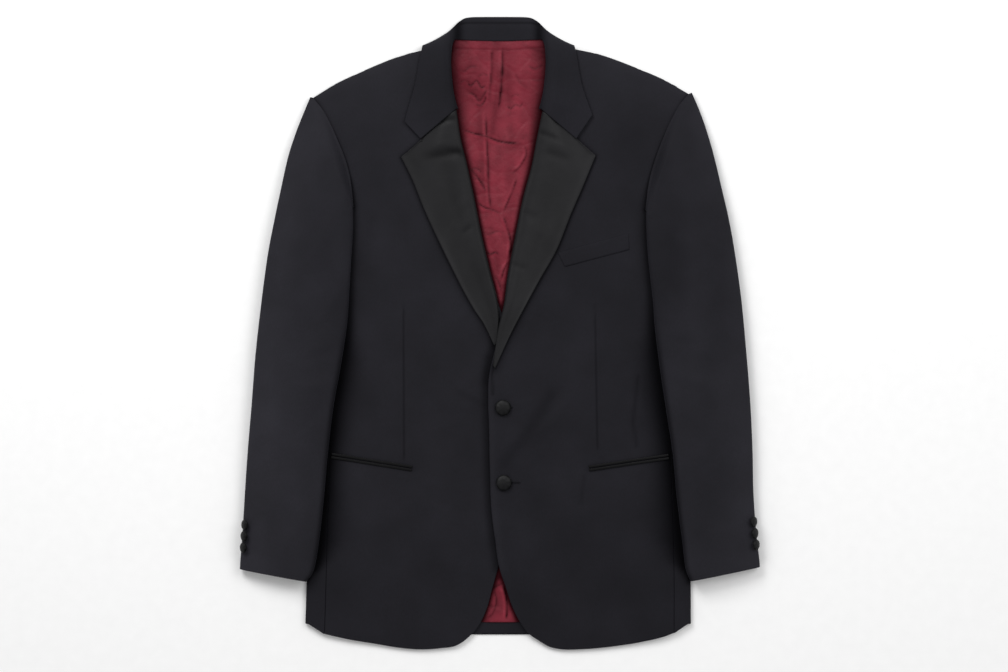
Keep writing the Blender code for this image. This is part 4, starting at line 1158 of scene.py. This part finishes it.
def add_lining(cloth):
    """The back's lining, wrinkled where the neck and the cutaway leave it free."""
    right, left, top = lining_edges()
    x, y = patch(curve([right(0), left(0)]), top, right, left, stretches(LINING_ACROSS), stretches(LINING_UP))
    from_right = x - np.interp(y, OPENING_Y, OPENING["right"])
    from_left = np.interp(y, OPENING_Y, OPENING["left"]) - x
    free = smooth(*LINING_FREE, np.minimum(from_right, from_left))
    height = uneven(x, y, LINING_SWELLS)
    for size, depth, seed in CRUMPLES:
        bent_x = x + CRUMPLE_BEND * ripple(x, y, CRUMPLE_BEND_SIZE, seed + 20.0)
        bent_y = y + CRUMPLE_BEND * ripple(x, y, CRUMPLE_BEND_SIZE, seed + 30.0)
        crumple = np.abs(ripple(bent_x, bent_y, size, seed)) * CRUMPLE_SHARPNESS
        height = height + depth * np.minimum(crumple, 1.0)
    # Painted shade in the creases, with a darker line along the yoke seam, and painted highlights on the
    # creases' higher sides
    dark, light = np.zeros(x.shape), np.zeros(x.shape)
    for row in LINING_CREASES:
        added, darker, lighter = crease(x, y, *row)
        height, dark, light = height + added, np.maximum(dark, darker), np.maximum(light, lighter)
    yoke, _, _ = to_line(LINING_YOKE, x, y)
    above_yoke = smooth(0.0, YOKE_PASSAGE, y - np.interp(x, *zip(*LINING_YOKE)))
    height = height - YOKE_DEPTH * bell(yoke, YOKE_HALF_WIDTH) + YOKE_RISE * above_yoke
    dark = np.maximum(dark, YOKE_DARK * bell(yoke, YOKE_DARK_WIDTH, 1.0))
    height = np.clip(height, *LINING_RELIEF) * (LINING_HELD + (1.0 - LINING_HELD) * free)
    height = LINING_REST + neck_lift(x, y, 1) + LINING_FREE_RISE * free + height
    # Painted shade along the edges of the opening, over the lining's streaks and clouds of tone and the
    # painted highlights of its creases
    width = np.interp(y, LINING_SHADE["y"], LINING_SHADE["width"])
    edges = bell(np.maximum(from_right, 0.0), width, 2.5) + bell(np.maximum(from_left, 0.0), width, 2.5)
    streaks = ripple(x, y * LINING_STREAKS["squeeze"], LINING_STREAKS["size"], 41.0)
    painted_light_and_tone = LINING_LIGHT + LINING_STREAKS["height"] * streaks + uneven(x, y, LINING_CLOUDS)
    shade = (1.0 - LINING_SHADE_DEPTH * edges) * (painted_light_and_tone + light)
    for points, half_width, depth in LINING_BANDS:
        shade = shade * beside(points, x, y, half_width, depth, 2.0)
    made, grid = shell(
        "back_lining_cloth", "back_lining", np.stack([x, y, height], axis=2), FINE_WALL["lining"],
        cloth, shade=np.maximum(shade, LINING_DARKEST) * (1.0 - np.minimum(dark, CREASE_DARKEST)),
    )
    declare(made, grid, "laid", ["back_right_cloth", "back_left_cloth", "back_hem_turn_up"])


def add_hem_turn_up(cloth):
    """The back's hem, turned up inside, which shows between the fronts below the lining."""
    high = BACK_TOP + FINE_WALL["turn_up"] + HEM_TURN_UP_GAP
    rows = [
        [(x, y, high) for x in np.linspace(-HEM_TURN_UP_HALF, HEM_TURN_UP_HALF, 60)]
        for y in np.linspace(BACK_HEM_Y + HEM_TURN_UP_INSET, LINING_HEM_Y + HEM_TURN_UP_UNDER, 12)
    ]
    made, grid = shell("back_hem_turn_up", None, rows, FINE_WALL["turn_up"], cloth)
    declare(made, grid, "folded", ["back_right_cloth", "back_left_cloth"])


# Sleeves


def sleeve_floor(side, out, y):
    """How high the body's side below carries a sleeve's underside."""
    reach = np.maximum(*(np.interp(at, SIDE_FOLD["y"], SIDE_FOLD[side]) for at in (y, y - FLOOR_MARGIN)))
    inside = smooth(*FLOOR_RAMP, reach - out)
    underarm = ARMHOLE[side][0][1]
    return (SIDE_TOP + SLEEVE_CLEAR) * inside * (1.0 - smooth(underarm, underarm + FLOOR_FADE, y))


def eased_armhole(side):
    """The sleeve's side of the armhole seam, from the shoulder down, eased at the underarm."""
    fade = [ARMHOLE[side][0][1] + value for value in EASE_FADE]
    armhole = ARMHOLE[side][::-1]
    return [(x + SEAM + UNDERARM_EASE * (1.0 - float(smooth(*fade, y))), y) for x, y in armhole]


def sleeve_faces(side, across, crown):
    """A sleeve's upper and under faces, with a row of points for each section from the shoulder down."""
    rows_at = through(SLEEVE[side])
    last = len(SLEEVE[side]) - 1
    seam = sampled(curve(eased_armhole(side)), across)
    bow = seam - (seam[0] + (seam[-1] - seam[0]) * across[:, None])
    tops, bottoms = [], []
    for number in [share * last for share in ticks(660.0, 3.8)]:
        outer_x, outer_y, inner_x, inner_y, height = rows_at(number)
        fade = 1.0 - float(smooth(0.0, SLEEVE_BOW_ROWS, number))
        out = outer_x + (inner_x - outer_x) * across + bow[:, 0] * fade
        y = outer_y + (inner_y - outer_y) * across + bow[:, 1] * fade
        floor = sleeve_floor(side, out, y)
        inner_floor = sleeve_floor(side, inner_x, inner_y)
        middle = height * SLEEVE_OUTER_SHARE * (1.0 - across) + (inner_floor + SLEEVE_INNER_RISE) * across
        if number < 1.0:
            flat = height / 2 + floor
            middle = flat + (middle - flat) * number
        rise = (height / 2 - SLEEVE_BAND) * crown + SLEEVE_BAND
        bottom = np.maximum(middle - rise, floor)
        top = np.maximum(middle + rise, bottom + 2 * SLEEVE_WALL + SLEEVE_LEAST_ROOM)
        tops.append(np.stack([SIDES[side] * out, y, top], axis=1))
        bottoms.append(np.stack([SIDES[side] * out, y, bottom], axis=1))
    return tops, bottoms


def add_heads(side, across, tops, bottoms):
    """Puts two rows before a sleeve's first, which reach over the body at the armhole seam."""
    lap = sampled(curve([(x - SLEEVE_LAP, y) for x, y in ARMHOLE[side][::-1]]), across) * (SIDES[side], 1.0)
    reach = (1.0 - LAP_EASE * smooth(*LAP_EASE_ACROSS, across))[:, None]
    for share, row in ((0.5, 0), (1.0, 1)):
        over, under = tops[row].copy(), bottoms[row].copy()
        for head in (over, under):
            head[:, :2] += (lap - head[:, :2]) * share * reach
        over[:, 2] -= SLEEVE_LAP_DROP * share
        under[:, 2] = np.maximum(under[:, 2], (BACK_TOP + UNDER_LAP_RISE) * share)
        tops.insert(0, over)
        bottoms.insert(0, under)


def sleeve_relief(side, x, y):
    away, _, _ = to_line(signed(side, eased_armhole(side)), x, y)
    head = sum(rise * bell(away - place, half_width) for rise, place, half_width in HEAD_RIDGES)
    folds = fold_height(SLEEVE_FOLDS[side], x, y) + fold_height(FINE_SLEEVE_FOLDS[side], x, y)
    return folds + uneven(x, y, SLEEVE_SWELLS, SIDES[side]) + head


def sleeve_light(side, spread, x, y):
    """The painted light on a sleeve at each place, over its streaks of tone, and the painted shade on its
    inner edge.
    """
    light = np.interp(spread, SLEEVE_LIGHT["across"], SLEEVE_LIGHT[side])
    edge = SLEEVE_EDGE_SHADE * (1.0 - smooth(*SLEEVE_EDGE_Y, y)) * smooth(*SLEEVE_EDGE_ACROSS, spread)
    streaks = ripple(x, y * SLEEVE_STREAKS["squeeze"], SLEEVE_STREAKS["size"], 52.0)
    down = np.interp(y, SLEEVE_LIGHT_DOWN["y"], SLEEVE_LIGHT_DOWN["light"])
    return light * (1.0 - edge) * (1.0 + SLEEVE_STREAKS["height"] * streaks) * down


def add_sleeve(side, cloth):
    shares = stretches(SLEEVE_ACROSS)
    across = 0.5 * (1.0 - np.cos(np.pi * shares))
    crown = np.sin(np.pi * shares) ** SLEEVE_CROWN
    tops, bottoms = sleeve_faces(side, across, crown)
    add_heads(side, across, tops, bottoms)
    tops, bottoms = np.array(tops), np.array(bottoms)
    tops[..., 2] += sleeve_relief(side, tops[..., 0], tops[..., 1]) * crown
    tops[..., 2] = np.maximum(tops[..., 2], bottoms[..., 2] + 2 * FINE_WALL["sleeve"] + SLEEVE_FINE_ROOM)
    between = (tops[..., 2] + bottoms[..., 2]) / 2
    spread = np.concatenate([[0.0] * len(EDGE_TURNS), across, [1.0] * len(EDGE_TURNS)])
    for which, face, step in (("top", tops, SEAM / 2), ("under", bottoms, -SEAM / 2)):
        ends = []
        for column in (0, -1):
            turned = np.repeat(face[:, column][:, None], len(EDGE_TURNS), axis=1)
            middle = (between[:, column] + step)[:, None]
            turned[..., 2] = middle + (turned[..., 2] - middle) * EDGE_TURNS
            ends.append(turned)
        grid = np.concatenate([ends[0], face, ends[1][:, ::-1]], axis=1)
        made, grid = shell(
            f"sleeve_{which}_{side}_cloth", f"sleeve_{which}_{side}", grid, FINE_WALL["sleeve"],
            cloth, upward=which == "top", shade=sleeve_light(side, spread, grid[..., 0], grid[..., 1]),
        )
        declare(made, grid, "laid", [f"side_{side}_cloth"])


# Lapels and collar


def add_lapel(side, cloth):
    """A lapel with its rolled inner edge, and its allowance turned in under the collar at the gorge."""
    table = lapel_rows(side)
    rolls = through([row[:2] for row in table])
    edges = through([row[2:] for row in table], corners=(LAPEL_POINT_ROW,))
    last = len(table) - 1
    wrap_passage = [ROLL_STARTS_Y[side] + value for value in LAPEL_WRAP]
    shares = np.array(LAPEL_SHARES)
    sign = SIDES[side]
    gorge = edges(0.0) - rolls(0.0)
    past_gorge = np.array((-gorge[1], gorge[0])) / np.linalg.norm(gorge)
    roll_shape = np.sin(np.pi * np.minimum(shares / LAPEL_ROLL_SHARE, 1.0) ** LAPEL_ROLL_LEAN)
    # Painted shade along the roll
    roll_light = 1.0 - LAPEL_ROLL_SHADE * (1.0 - smooth(*LAPEL_ROLL_ACROSS, shares))
    sections = [(0.0, past, drop) for past, drop in GORGE_TURN_IN]
    shares_down = ticks(330.0, 2.6, (0.0, LAPEL_POINT_ROW / last, 1.0))
    sections += [(share * last, 0.0, 0.0) for share in shares_down]
    rows, shades = [], []
    for number, past, drop in sections:
        roll, edge = rolls(number), edges(number)
        size = min(1.0, float(np.linalg.norm(edge - roll)) / LAPEL_FULL_WIDTH)
        reach = past * (1.0 - smooth(*GORGE_REACH_ENDS, shares))[:, None]
        place = (roll + (edge - roll) * shares[:, None] + past_gorge * reach) * (sign, 1)
        x, y = place[:, 0], place[:, 1]
        rise = LAPEL_ROLL * roll_shape + LAPEL_EDGE_RISE * smooth(*LAPEL_EDGE_ACROSS, shares)
        soft = uneven(x, y, LAPEL_EDGE_SWELLS, sign) * size
        soft = soft + np.sin(shares * np.pi) * uneven(x, y, LAPEL_SWELLS)
        dents = fold_height(LAPEL_DENTS[side], x, y)
        height = front_height(side, x, y) + LAPEL_GAP + LAPEL_WALL + rise * size + soft + dents - drop
        wrap = (LAPEL_WALL + FRONT_WALL) * float(smooth(*wrap_passage, y[0])) + LAPEL_LIP_DROP
        lip = []
        for turn in LIP_TURNS:
            inset = sign * LIP_INSET * (1.0 - turn) ** 2 * size
            lip.append((x[0] + inset, y[0], height[0] - wrap * (1.0 - turn)))
        rows.append([*lip, *zip(x, y, height)])
        # Painted shade along the roll, on the lip and in the dents
        dented = roll_light + DENT_SHADE * np.minimum(dents, 0.0)
        shades.append([1.0 - LAPEL_ROLL_SHADE] * len(lip) + list(dented))
    made, grid = shell(
        f"lapel_{side}_satin", f"lapel_{side}", rows, FINE_WALL["lapel"], cloth, shade=shades
    )
    declare(made, grid, "folded", [f"front_{side}_cloth"])


def collar_rows():
    """The collar's table for both halves, from the right gorge round the neck to the left one."""
    rows = {}
    for side, sign in SIDES.items():
        half = []
        for number, values in enumerate(COLLAR):
            row = dict(zip(COLLAR_COLUMNS, values))
            if number == COLLAR_POINT_ROW:
                row["edge_y"] = COLLAR_TIP_Y[side]
            for name in ("lip_x", "fold_x", "edge_x"):
                row[name] = COLLAR_CENTRE + sign * row[name]
            half.append([row[name] for name in COLLAR_COLUMNS])
        rows[side] = half
    return rows["right"] + rows["left"][-2::-1]


def collar_section(row, sharp):
    """The points of one section of the collar, from its lip over the fold to its free edge."""
    lip, fold = (np.array([row[f"{part}_{axis}"] for axis in "xyz"]) for part in ("lip", "fold"))
    edge = np.array((sharp["edge_x"], sharp["edge_y"], row["edge_z"]))
    inside = lip + (fold - lip) * COLLAR_INSIDE_SHARE
    inside[2] = row["in_z"]
    past = fold + (edge - fold) * COLLAR_PAST_SHARE
    past[2] = row["out_z"]
    return sampled(curve([lip, inside, fold, past, past * 0.5 + edge * 0.5, edge]), COLLAR_SHARES)


def add_collar(cloth):
    table = collar_rows()
    last = len(table) - 1
    smoothed = through(table)
    cornered = through(table, corners=(COLLAR_POINT_ROW, last - COLLAR_POINT_ROW))
    point = COLLAR_POINT_ROW / last
    rows = []
    for number in [share * last for share in ticks(520.0, 3.0, (0.0, point, 1.0 - point, 1.0))]:
        rows.append(collar_section(*(dict(zip(COLLAR_COLUMNS, at(number))) for at in (smoothed, cornered))))
    grid = np.array(rows)
    grid[..., 2] = np.maximum(grid[..., 2], COLLAR_LOWEST)
    x, y = grid[..., 0], grid[..., 1]
    across = np.abs(x - COLLAR_CENTRE)
    stand = bell(y - STAND_SEAM_Y, STAND_SEAM_WIDTH) * (1.0 - smooth(*STAND_SEAM_ENDS, across))
    soft = uneven(x, y, COLLAR_SWELLS) - STAND_SEAM_DEPTH * stand
    grid[..., 2] += soft * (grid[..., 2] > COLLAR_SWELLS_Z)
    reach = np.interp(across, COLLAR_TOP_REACH["across"], COLLAR_TOP_REACH["reach"])
    grid[..., 1] += reach * smooth(*COLLAR_TOP_REACH["y"], y)
    # Painted shade where the collar turns at the neck and rolls on the front, and a darker line along the
    # seam of its stand
    turn = smooth(*COLLAR_TURN_Y, y)
    turned = bell(across - COLLAR_TURN_AT, COLLAR_TURN_WIDTH) * turn
    rolled = bell(np.maximum(across - COLLAR_ROLL_AT, 0.0), COLLAR_ROLL_WIDTH, 1.0) * (1.0 - turn)
    shades = COLLAR_SHADES
    made, grid = shell(
        "collar_cloth", "collar", grid, FINE_WALL["collar"], cloth, centred=True, rims=SEAM_RIMS,
        shade=1.0 - shades["turned"] * turned - shades["rolled"] * rolled - shades["stand"] * stand,
    )
    below = ["front_right_cloth", "front_left_cloth", "back_right_cloth", "back_left_cloth"]
    declare(made, grid, "folded", below)


# Welt and hip pockets


def strip_grid(side, corners, lift, counts, crown):
    """A narrow strip that lies on a front, a little rounded across, with its corners as for the welt."""
    lower_start, lower_end, upper_start, upper_end = (np.array(corner, float) for corner in corners)
    rows = []
    for v in np.linspace(0.0, 1.0, counts[1]):
        start = lower_start + (upper_start - lower_start) * v
        end = lower_end + (upper_end - lower_end) * v
        row = start + (end - start) * np.array(ticks(100.0, 100.0 / counts[0]))[:, None]
        x, y = row[:, 0], row[:, 1]
        rounded = crown * math.sqrt(max(1.0 - (2.0 * v - 1.0) ** 2, 0.0))
        rows.append(np.stack([x, y, front_height(side, x, y) + lift + rounded], axis=1))
    return rows


def add_welt(cloth):
    rows = strip_grid("left", WELT_CORNERS, LAYER_GAP + WELT_LIFT, (50, 14), WELT_CROWN)
    made, grid = shell("breast_welt_cloth", "breast_welt", rows, FINE_WALL["pocket"], cloth)
    declare(made, grid, "laid", ["front_left_cloth"])


def add_hip_pocket(side, cloth):
    """The two jets of a hip pocket, each a narrow folded strip of satin."""
    start, end = (np.array(point) for point in signed(side, HIP_POCKET[side]))
    along = (end - start) / np.linalg.norm(end - start)
    up = np.array((along[1], -along[0])) * SIDES[side]
    near, far = JET_SLIT / 2, JET_SLIT / 2 + JET_DEPTH
    jets = []
    for name, low, high in (("upper", near, far), ("lower", -far, -near)):
        corners = (start + up * low, end + up * low, start + up * high, end + up * high)
        rows = strip_grid(side, corners, LAYER_GAP + JET_LIFT, (60, 12), JET_CROWN)
        # Each jet is darkened by painted shade
        made, _ = shell(
            f"pocket_{side}_{name}_piping", f"pocket_{side}_{name}_jet", rows, FINE_WALL["pocket"],
            cloth, shade=JET_SHADE,
        )
        jets.append(made)
    return jets


# Buttons and buttonholes


def dome(share, radius, depth):
    """How far out and how high a button's cloth is, at a share of the way from its crown to under its rim."""
    turn = share * DOME_TURN
    if turn < math.pi / 2:
        return radius * math.sin(turn), depth * (DOME_BASE + (1.0 - DOME_BASE) * math.cos(turn))
    out = radius * (DOME_NECK + (1.0 - DOME_NECK) * math.sin(turn))
    return out, depth * DOME_BASE * (1.0 + math.cos(turn) * DOME_TUCK)


def button_points(radius, depth, seed):
    points = [(0.0, 0.0, depth)]
    for ring in range(1, DOME_RINGS + 1):
        share = ring / DOME_RINGS
        out, high = dome(share, radius, depth)
        for spoke in range(DOME_SPOKES):
            angle = 2.0 * math.pi * spoke / DOME_SPOKES
            gather = sum(pull * math.sin(angle * count + seed * turn) for count, turn, pull in GATHERS)
            drawn = out + float(smooth(*GATHER_PASSAGE, share)) * gather
            across, up = math.cos(angle), math.sin(angle)
            lump = LUMP_HEIGHT * noise.noise((out * across / LUMP_SIZE, out * up / LUMP_SIZE, seed))
            points.append((drawn * across, drawn * up, max(high + lump, 0.0)))
    return points


def add_button(node, place, across, depth, tilt, look, seed):
    """A covered button: cloth drawn tight over a dome, with small gathers where it turns under the rim."""
    radius, around = across / 2, DOME_SPOKES
    points = button_points(radius, depth, seed)
    faces = [(0, 1 + k, 1 + (k + 1) % around) for k in range(around)]
    for ring in range(DOME_RINGS - 1):
        a, b = 1 + ring * around, 1 + (ring + 1) * around
        faces += [(a + k, b + k, b + (k + 1) % around, a + (k + 1) % around) for k in range(around)]
    low = 1 + (DOME_RINGS - 1) * around
    faces.append([low + k for k in range(around)][::-1])
    # Painted light on the upper left side, painted shade and light of folds, and painted shade under the rim
    shades = []
    for a, b, _ in points:
        away = math.hypot(a, b) / radius
        folds = BUTTON_FOLDS * math.sin(7.0 * math.atan2(b, a) + 2.0 * seed) * away
        lit = BUTTON_LIGHT + BUTTON_LIT_SIDE * (b - 0.6 * a) / radius
        shades.append(lit + folds - BUTTON_RIM_SHADE * float(smooth(*BUTTON_RIM, away)))
    made = solid(f"{node}_covered", points, faces, look, shades, place, tilt)
    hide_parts(node)


def add_buttons(look):
    for seed, (name, (x, y)) in enumerate(FRONT_BUTTONS.items(), start=1):
        high = float(front_height("left", x, y)) + LAYER_GAP
        add_button(name, (x, y, high), BUTTON_ACROSS, BUTTON_DEPTH, 0.0, look, float(seed))
    for side, sign in SIDES.items():
        for number, (out, y) in enumerate(CUFF_BUTTONS[side], start=1):
            add_button(f"cuff_button_{side}_{number}", (sign * out, y, CUFF_BUTTON_Z), CUFF_BUTTON_ACROSS,
                       CUFF_BUTTON_DEPTH, sign * CUFF_BUTTON_TILT, look, 4.0 + number)


def thread_ring(name, points, radius, look, sides=8):
    """A round thread along a closed line of points."""
    points = np.array(points, float)
    verts, faces = [], []
    for before, point, after in zip(np.roll(points, 1, axis=0), points, np.roll(points, -1, axis=0)):
        along = Vector(after - before).normalized()
        aside = along.cross(Vector((0.0, 0.0, 1.0))).normalized()
        up = aside.cross(along)
        for k in range(sides):
            angle = 2.0 * math.pi * k / sides
            verts.append(Vector(point) + radius * (aside * math.cos(angle) + up * math.sin(angle)))
    for i in range(len(points)):
        a, b = i * sides, (i + 1) % len(points) * sides
        faces += [(a + k, a + (k + 1) % sides, b + (k + 1) % sides, b + k) for k in range(sides)]
    return solid(name, verts, faces, look, 1.0)


def add_buttonholes(look):
    """The worked buttonholes of the left front, each running from behind its button towards the side."""
    half = BUTTONHOLE_HALF
    for name, (x, y) in FRONT_BUTTONS.items():
        start, end = x + BUTTONHOLE_START, x + BUTTONHOLE_REACH[name]
        outline = [(start + (end - start) * t, y + half) for t in np.linspace(0.0, 1.0, 46)]
        outline += [(end + half * math.sin(a), y + half * math.cos(a)) for a in np.linspace(0.5, 2.6, 8)]
        outline += [(start + (end - start) * t, y - half) for t in np.linspace(1.0, 0.0, 46)]
        points = []
        for k, (a, b) in enumerate(outline):  # each stitch leans to its own side of the slit
            high = float(front_height("left", a, b) + front_relief("left", np.array(a), np.array(b)))
            points.append((a, b + STITCH_LEAN * (-1) ** k, high + STITCH_RISE))
        made = thread_ring(name.replace("button", "buttonhole"), points, STITCH_RADIUS, look)


# Looks


class Look:
    """A material and its nodes."""

    def __init__(self, name):
        self.material = bpy.data.materials.new(name)
        self.material.use_nodes = True
        self.nodes, self.links = self.material.node_tree.nodes, self.material.node_tree.links
        self.surface = self.nodes["Principled BSDF"].inputs

    def fill(self, socket, value):
        if isinstance(value, bpy.types.NodeSocket):
            self.links.new(value, socket)
        else:
            socket.default_value = value

    def node(self, kind, inputs, output, **settings):
        """A node's output. Each input is a value or another node's output."""
        made = self.nodes.new(f"ShaderNode{kind}")
        for name, value in settings.items():
            setattr(made, name, value)
        for name, value in inputs.items():
            self.fill(made.inputs[name], value)
        return made.outputs[output]

    def placed(self, angle, scale=(1.0, 1.0, 1.0)):
        """Places on the object, turned by an angle, for a texture to follow the grain of the cloth."""
        turn = (0.0, 0.0, math.radians(angle))
        inputs = {"Vector": self.node("TexCoord", {}, "Object"), "Rotation": turn, "Scale": scale}
        return self.node("Mapping", inputs, "Vector")

    def noise(self, vector, scale, detail=2.0, roughness=0.5):
        inputs = {"Vector": vector, "Scale": scale, "Detail": detail, "Roughness": roughness}
        return self.node("TexNoise", inputs, "Fac")

    def ribs(self, vector, scale, direction):
        inputs = {"Vector": vector, "Scale": scale, "Distortion": 0.6, "Detail": 1.0}
        return self.node("TexWave", inputs, "Fac", wave_type="BANDS", bands_direction=direction)

    def maths(self, operation, first, second):
        return self.node("Math", {0: first, 1: second}, 0, operation=operation)

    def ramp(self, value, stops):
        made = self.nodes.new("ShaderNodeValToRGB")
        for element, (place, colour) in zip(made.color_ramp.elements, (stops[0], stops[-1])):
            element.position = place
            element.color = (*colour, 1.0)
        for place, colour in stops[1:-1]:
            made.color_ramp.elements.new(place).color = (*colour, 1.0)
        self.links.new(value, made.inputs["Fac"])
        return made.outputs["Color"]

    def bump(self, height, strength, distance, under=None):
        inputs = {"Height": height, "Strength": strength, "Distance": distance}
        return self.node("Bump", inputs if under is None else {**inputs, "Normal": under}, "Normal")


def scaled(colour, by):
    return tuple(value * by for value in colour)


def greys(stops):
    return [(place, (value,) * 3) for place, value in stops]


def cloth_look(kind, name, angle, brightness=1.0):
    """A cloth by its row of values, with its grain turned by an angle, darkened or lightened by the painted
    shade and light of its points.
    """
    row = CLOTHS[kind]
    look = Look(name)
    vector = look.placed(angle)
    threads = look.noise(look.placed(angle, (1.0, row["stretch"], 1.0)), *row["threads"])
    tone = look.noise(vector, *row["uneven"])
    if row["thread_share"]:
        parts = [(tone, 1.0 - row["thread_share"]), (threads, row["thread_share"])]
        tone = look.maths("ADD", *[look.maths("MULTIPLY", part, share) for part, share in parts])
    colour = scaled(row["colour"], brightness)
    colours = look.ramp(tone, [(place, scaled(colour, by)) for place, by in row["tones"]])
    shade = look.node("Attribute", {}, "Fac", attribute_name="shade")
    dimmed = look.node("VectorMath", {0: colours, "Scale": shade}, "Vector", operation="SCALE")
    soft = look.bump(look.noise(vector, *row["swells"]), *row["swell_bump"])
    relief = look.bump(threads, *row["thread_bump"], soft)
    if row["weave_bump"]:
        twill = look.ribs(look.placed(angle + TWILL["turn"]), TWILL["ribs"], "X")
        weave = look.maths("MULTIPLY", twill, look.ribs(vector, TWILL["picks"], "Y"))
        relief = look.bump(weave, *row["weave_bump"], relief)
    for socket, value in {
        "Base Color": dimmed,
        "Specular IOR Level": look.maths("MULTIPLY", shade, row["shine"]),
        "Roughness": look.ramp(threads, greys(zip(ROUGH_THREADS, row["rough"]))),
        "Normal": relief,
        **row["surface"],
    }.items():
        look.fill(look.surface[socket], value)
    return look.material


# Floor, lights and camera


def linked(name, data, place=(0.0, 0.0, 0.0)):
    made = bpy.data.objects.new(name, data)
    made.location = place
    bpy.context.scene.collection.objects.link(made)
    return made


def add_floor():
    look = Look("floor_paper")
    vector = look.placed(0.0)
    paper = look.noise(vector, 60.0, 4.0)
    for socket, value in {
        "Base Color": look.ramp(paper, greys(FLOOR_WHITES)),
        "Roughness": 0.9,
        "Specular IOR Level": 0.1,
        "Normal": look.bump(look.noise(vector, 900.0), 0.05, 0.0002),
    }.items():
        look.fill(look.surface[socket], value)
    half = FLOOR_SIZE / 2
    corners = [(x * half, y * half, -FLOOR_DROP) for x, y in ((-1, -1), (1, -1), (1, 1), (-1, 1))]
    mesh = bpy.data.meshes.new("floor")
    mesh.from_pydata(corners, [], [(0, 1, 2, 3)])
    mesh.materials.append(look.material)
    linked("floor", mesh)


def add_lights():
    world = bpy.data.worlds.new("studio")
    world.use_nodes = True
    world.node_tree.nodes["Background"].inputs["Color"].default_value = (1.0, 1.0, 1.0, 1.0)
    world.node_tree.nodes["Background"].inputs["Strength"].default_value = SKY_LIGHT
    bpy.context.scene.world = world
    bpy.context.scene.view_settings.view_transform = "Standard"
    for name, place, size, power in LAMPS:
        light = bpy.data.lights.new(name, "AREA")
        light.shape = "SQUARE"
        light.size = size
        light.energy = power
        linked(name, light, place).rotation_euler = (-Vector(place)).to_track_quat("-Z", "Y").to_euler()


def add_camera():
    data = bpy.data.cameras.new("camera")
    data.lens = LENS
    data.sensor_width = SENSOR
    data.clip_end = 20.0
    distance = FRAME_WIDTH * LENS / SENSOR
    bpy.context.scene.camera = linked("camera", data, (*FRAME_CENTRE, distance + CAMERA_PLANE))


def main():
    body = cloth_look("wool", "wool_body", 0.0)
    sleeves = {side: cloth_look("wool", f"wool_sleeve_{side}", angle) for side, angle in SLEEVE_GRAIN.items()}
    collar = cloth_look("wool", "wool_collar", 0.0, 1.04)
    lapels = {side: cloth_look("satin", f"satin_lapel_{side}", angle) for side, angle in LAPEL_GRAIN.items()}
    # The piping is a darker copy of the satin: painted shade
    piping = cloth_look("satin", "satin_piping", 90.0, 0.6)
    covered = cloth_look("button", "covered_button_cloth", 30.0)
    thread = cloth_look("wool", "buttonhole_thread", 0.0, 0.7)
    for side in SIDES:
        add_back(side, body)
        add_side(side, body)
        add_front(side, body, piping)
        add_sleeve(side, sleeves[side])
        add_lapel(side, lapels[side])
    add_lining(cloth_look("lining", "lining_burgundy", 4.0))
    add_hem_turn_up(body)
    add_collar(collar)
    add_welt(body)
    add_buttons(covered)
    add_buttonholes(thread)
    add_floor()
    add_lights()
    add_camera()


main()
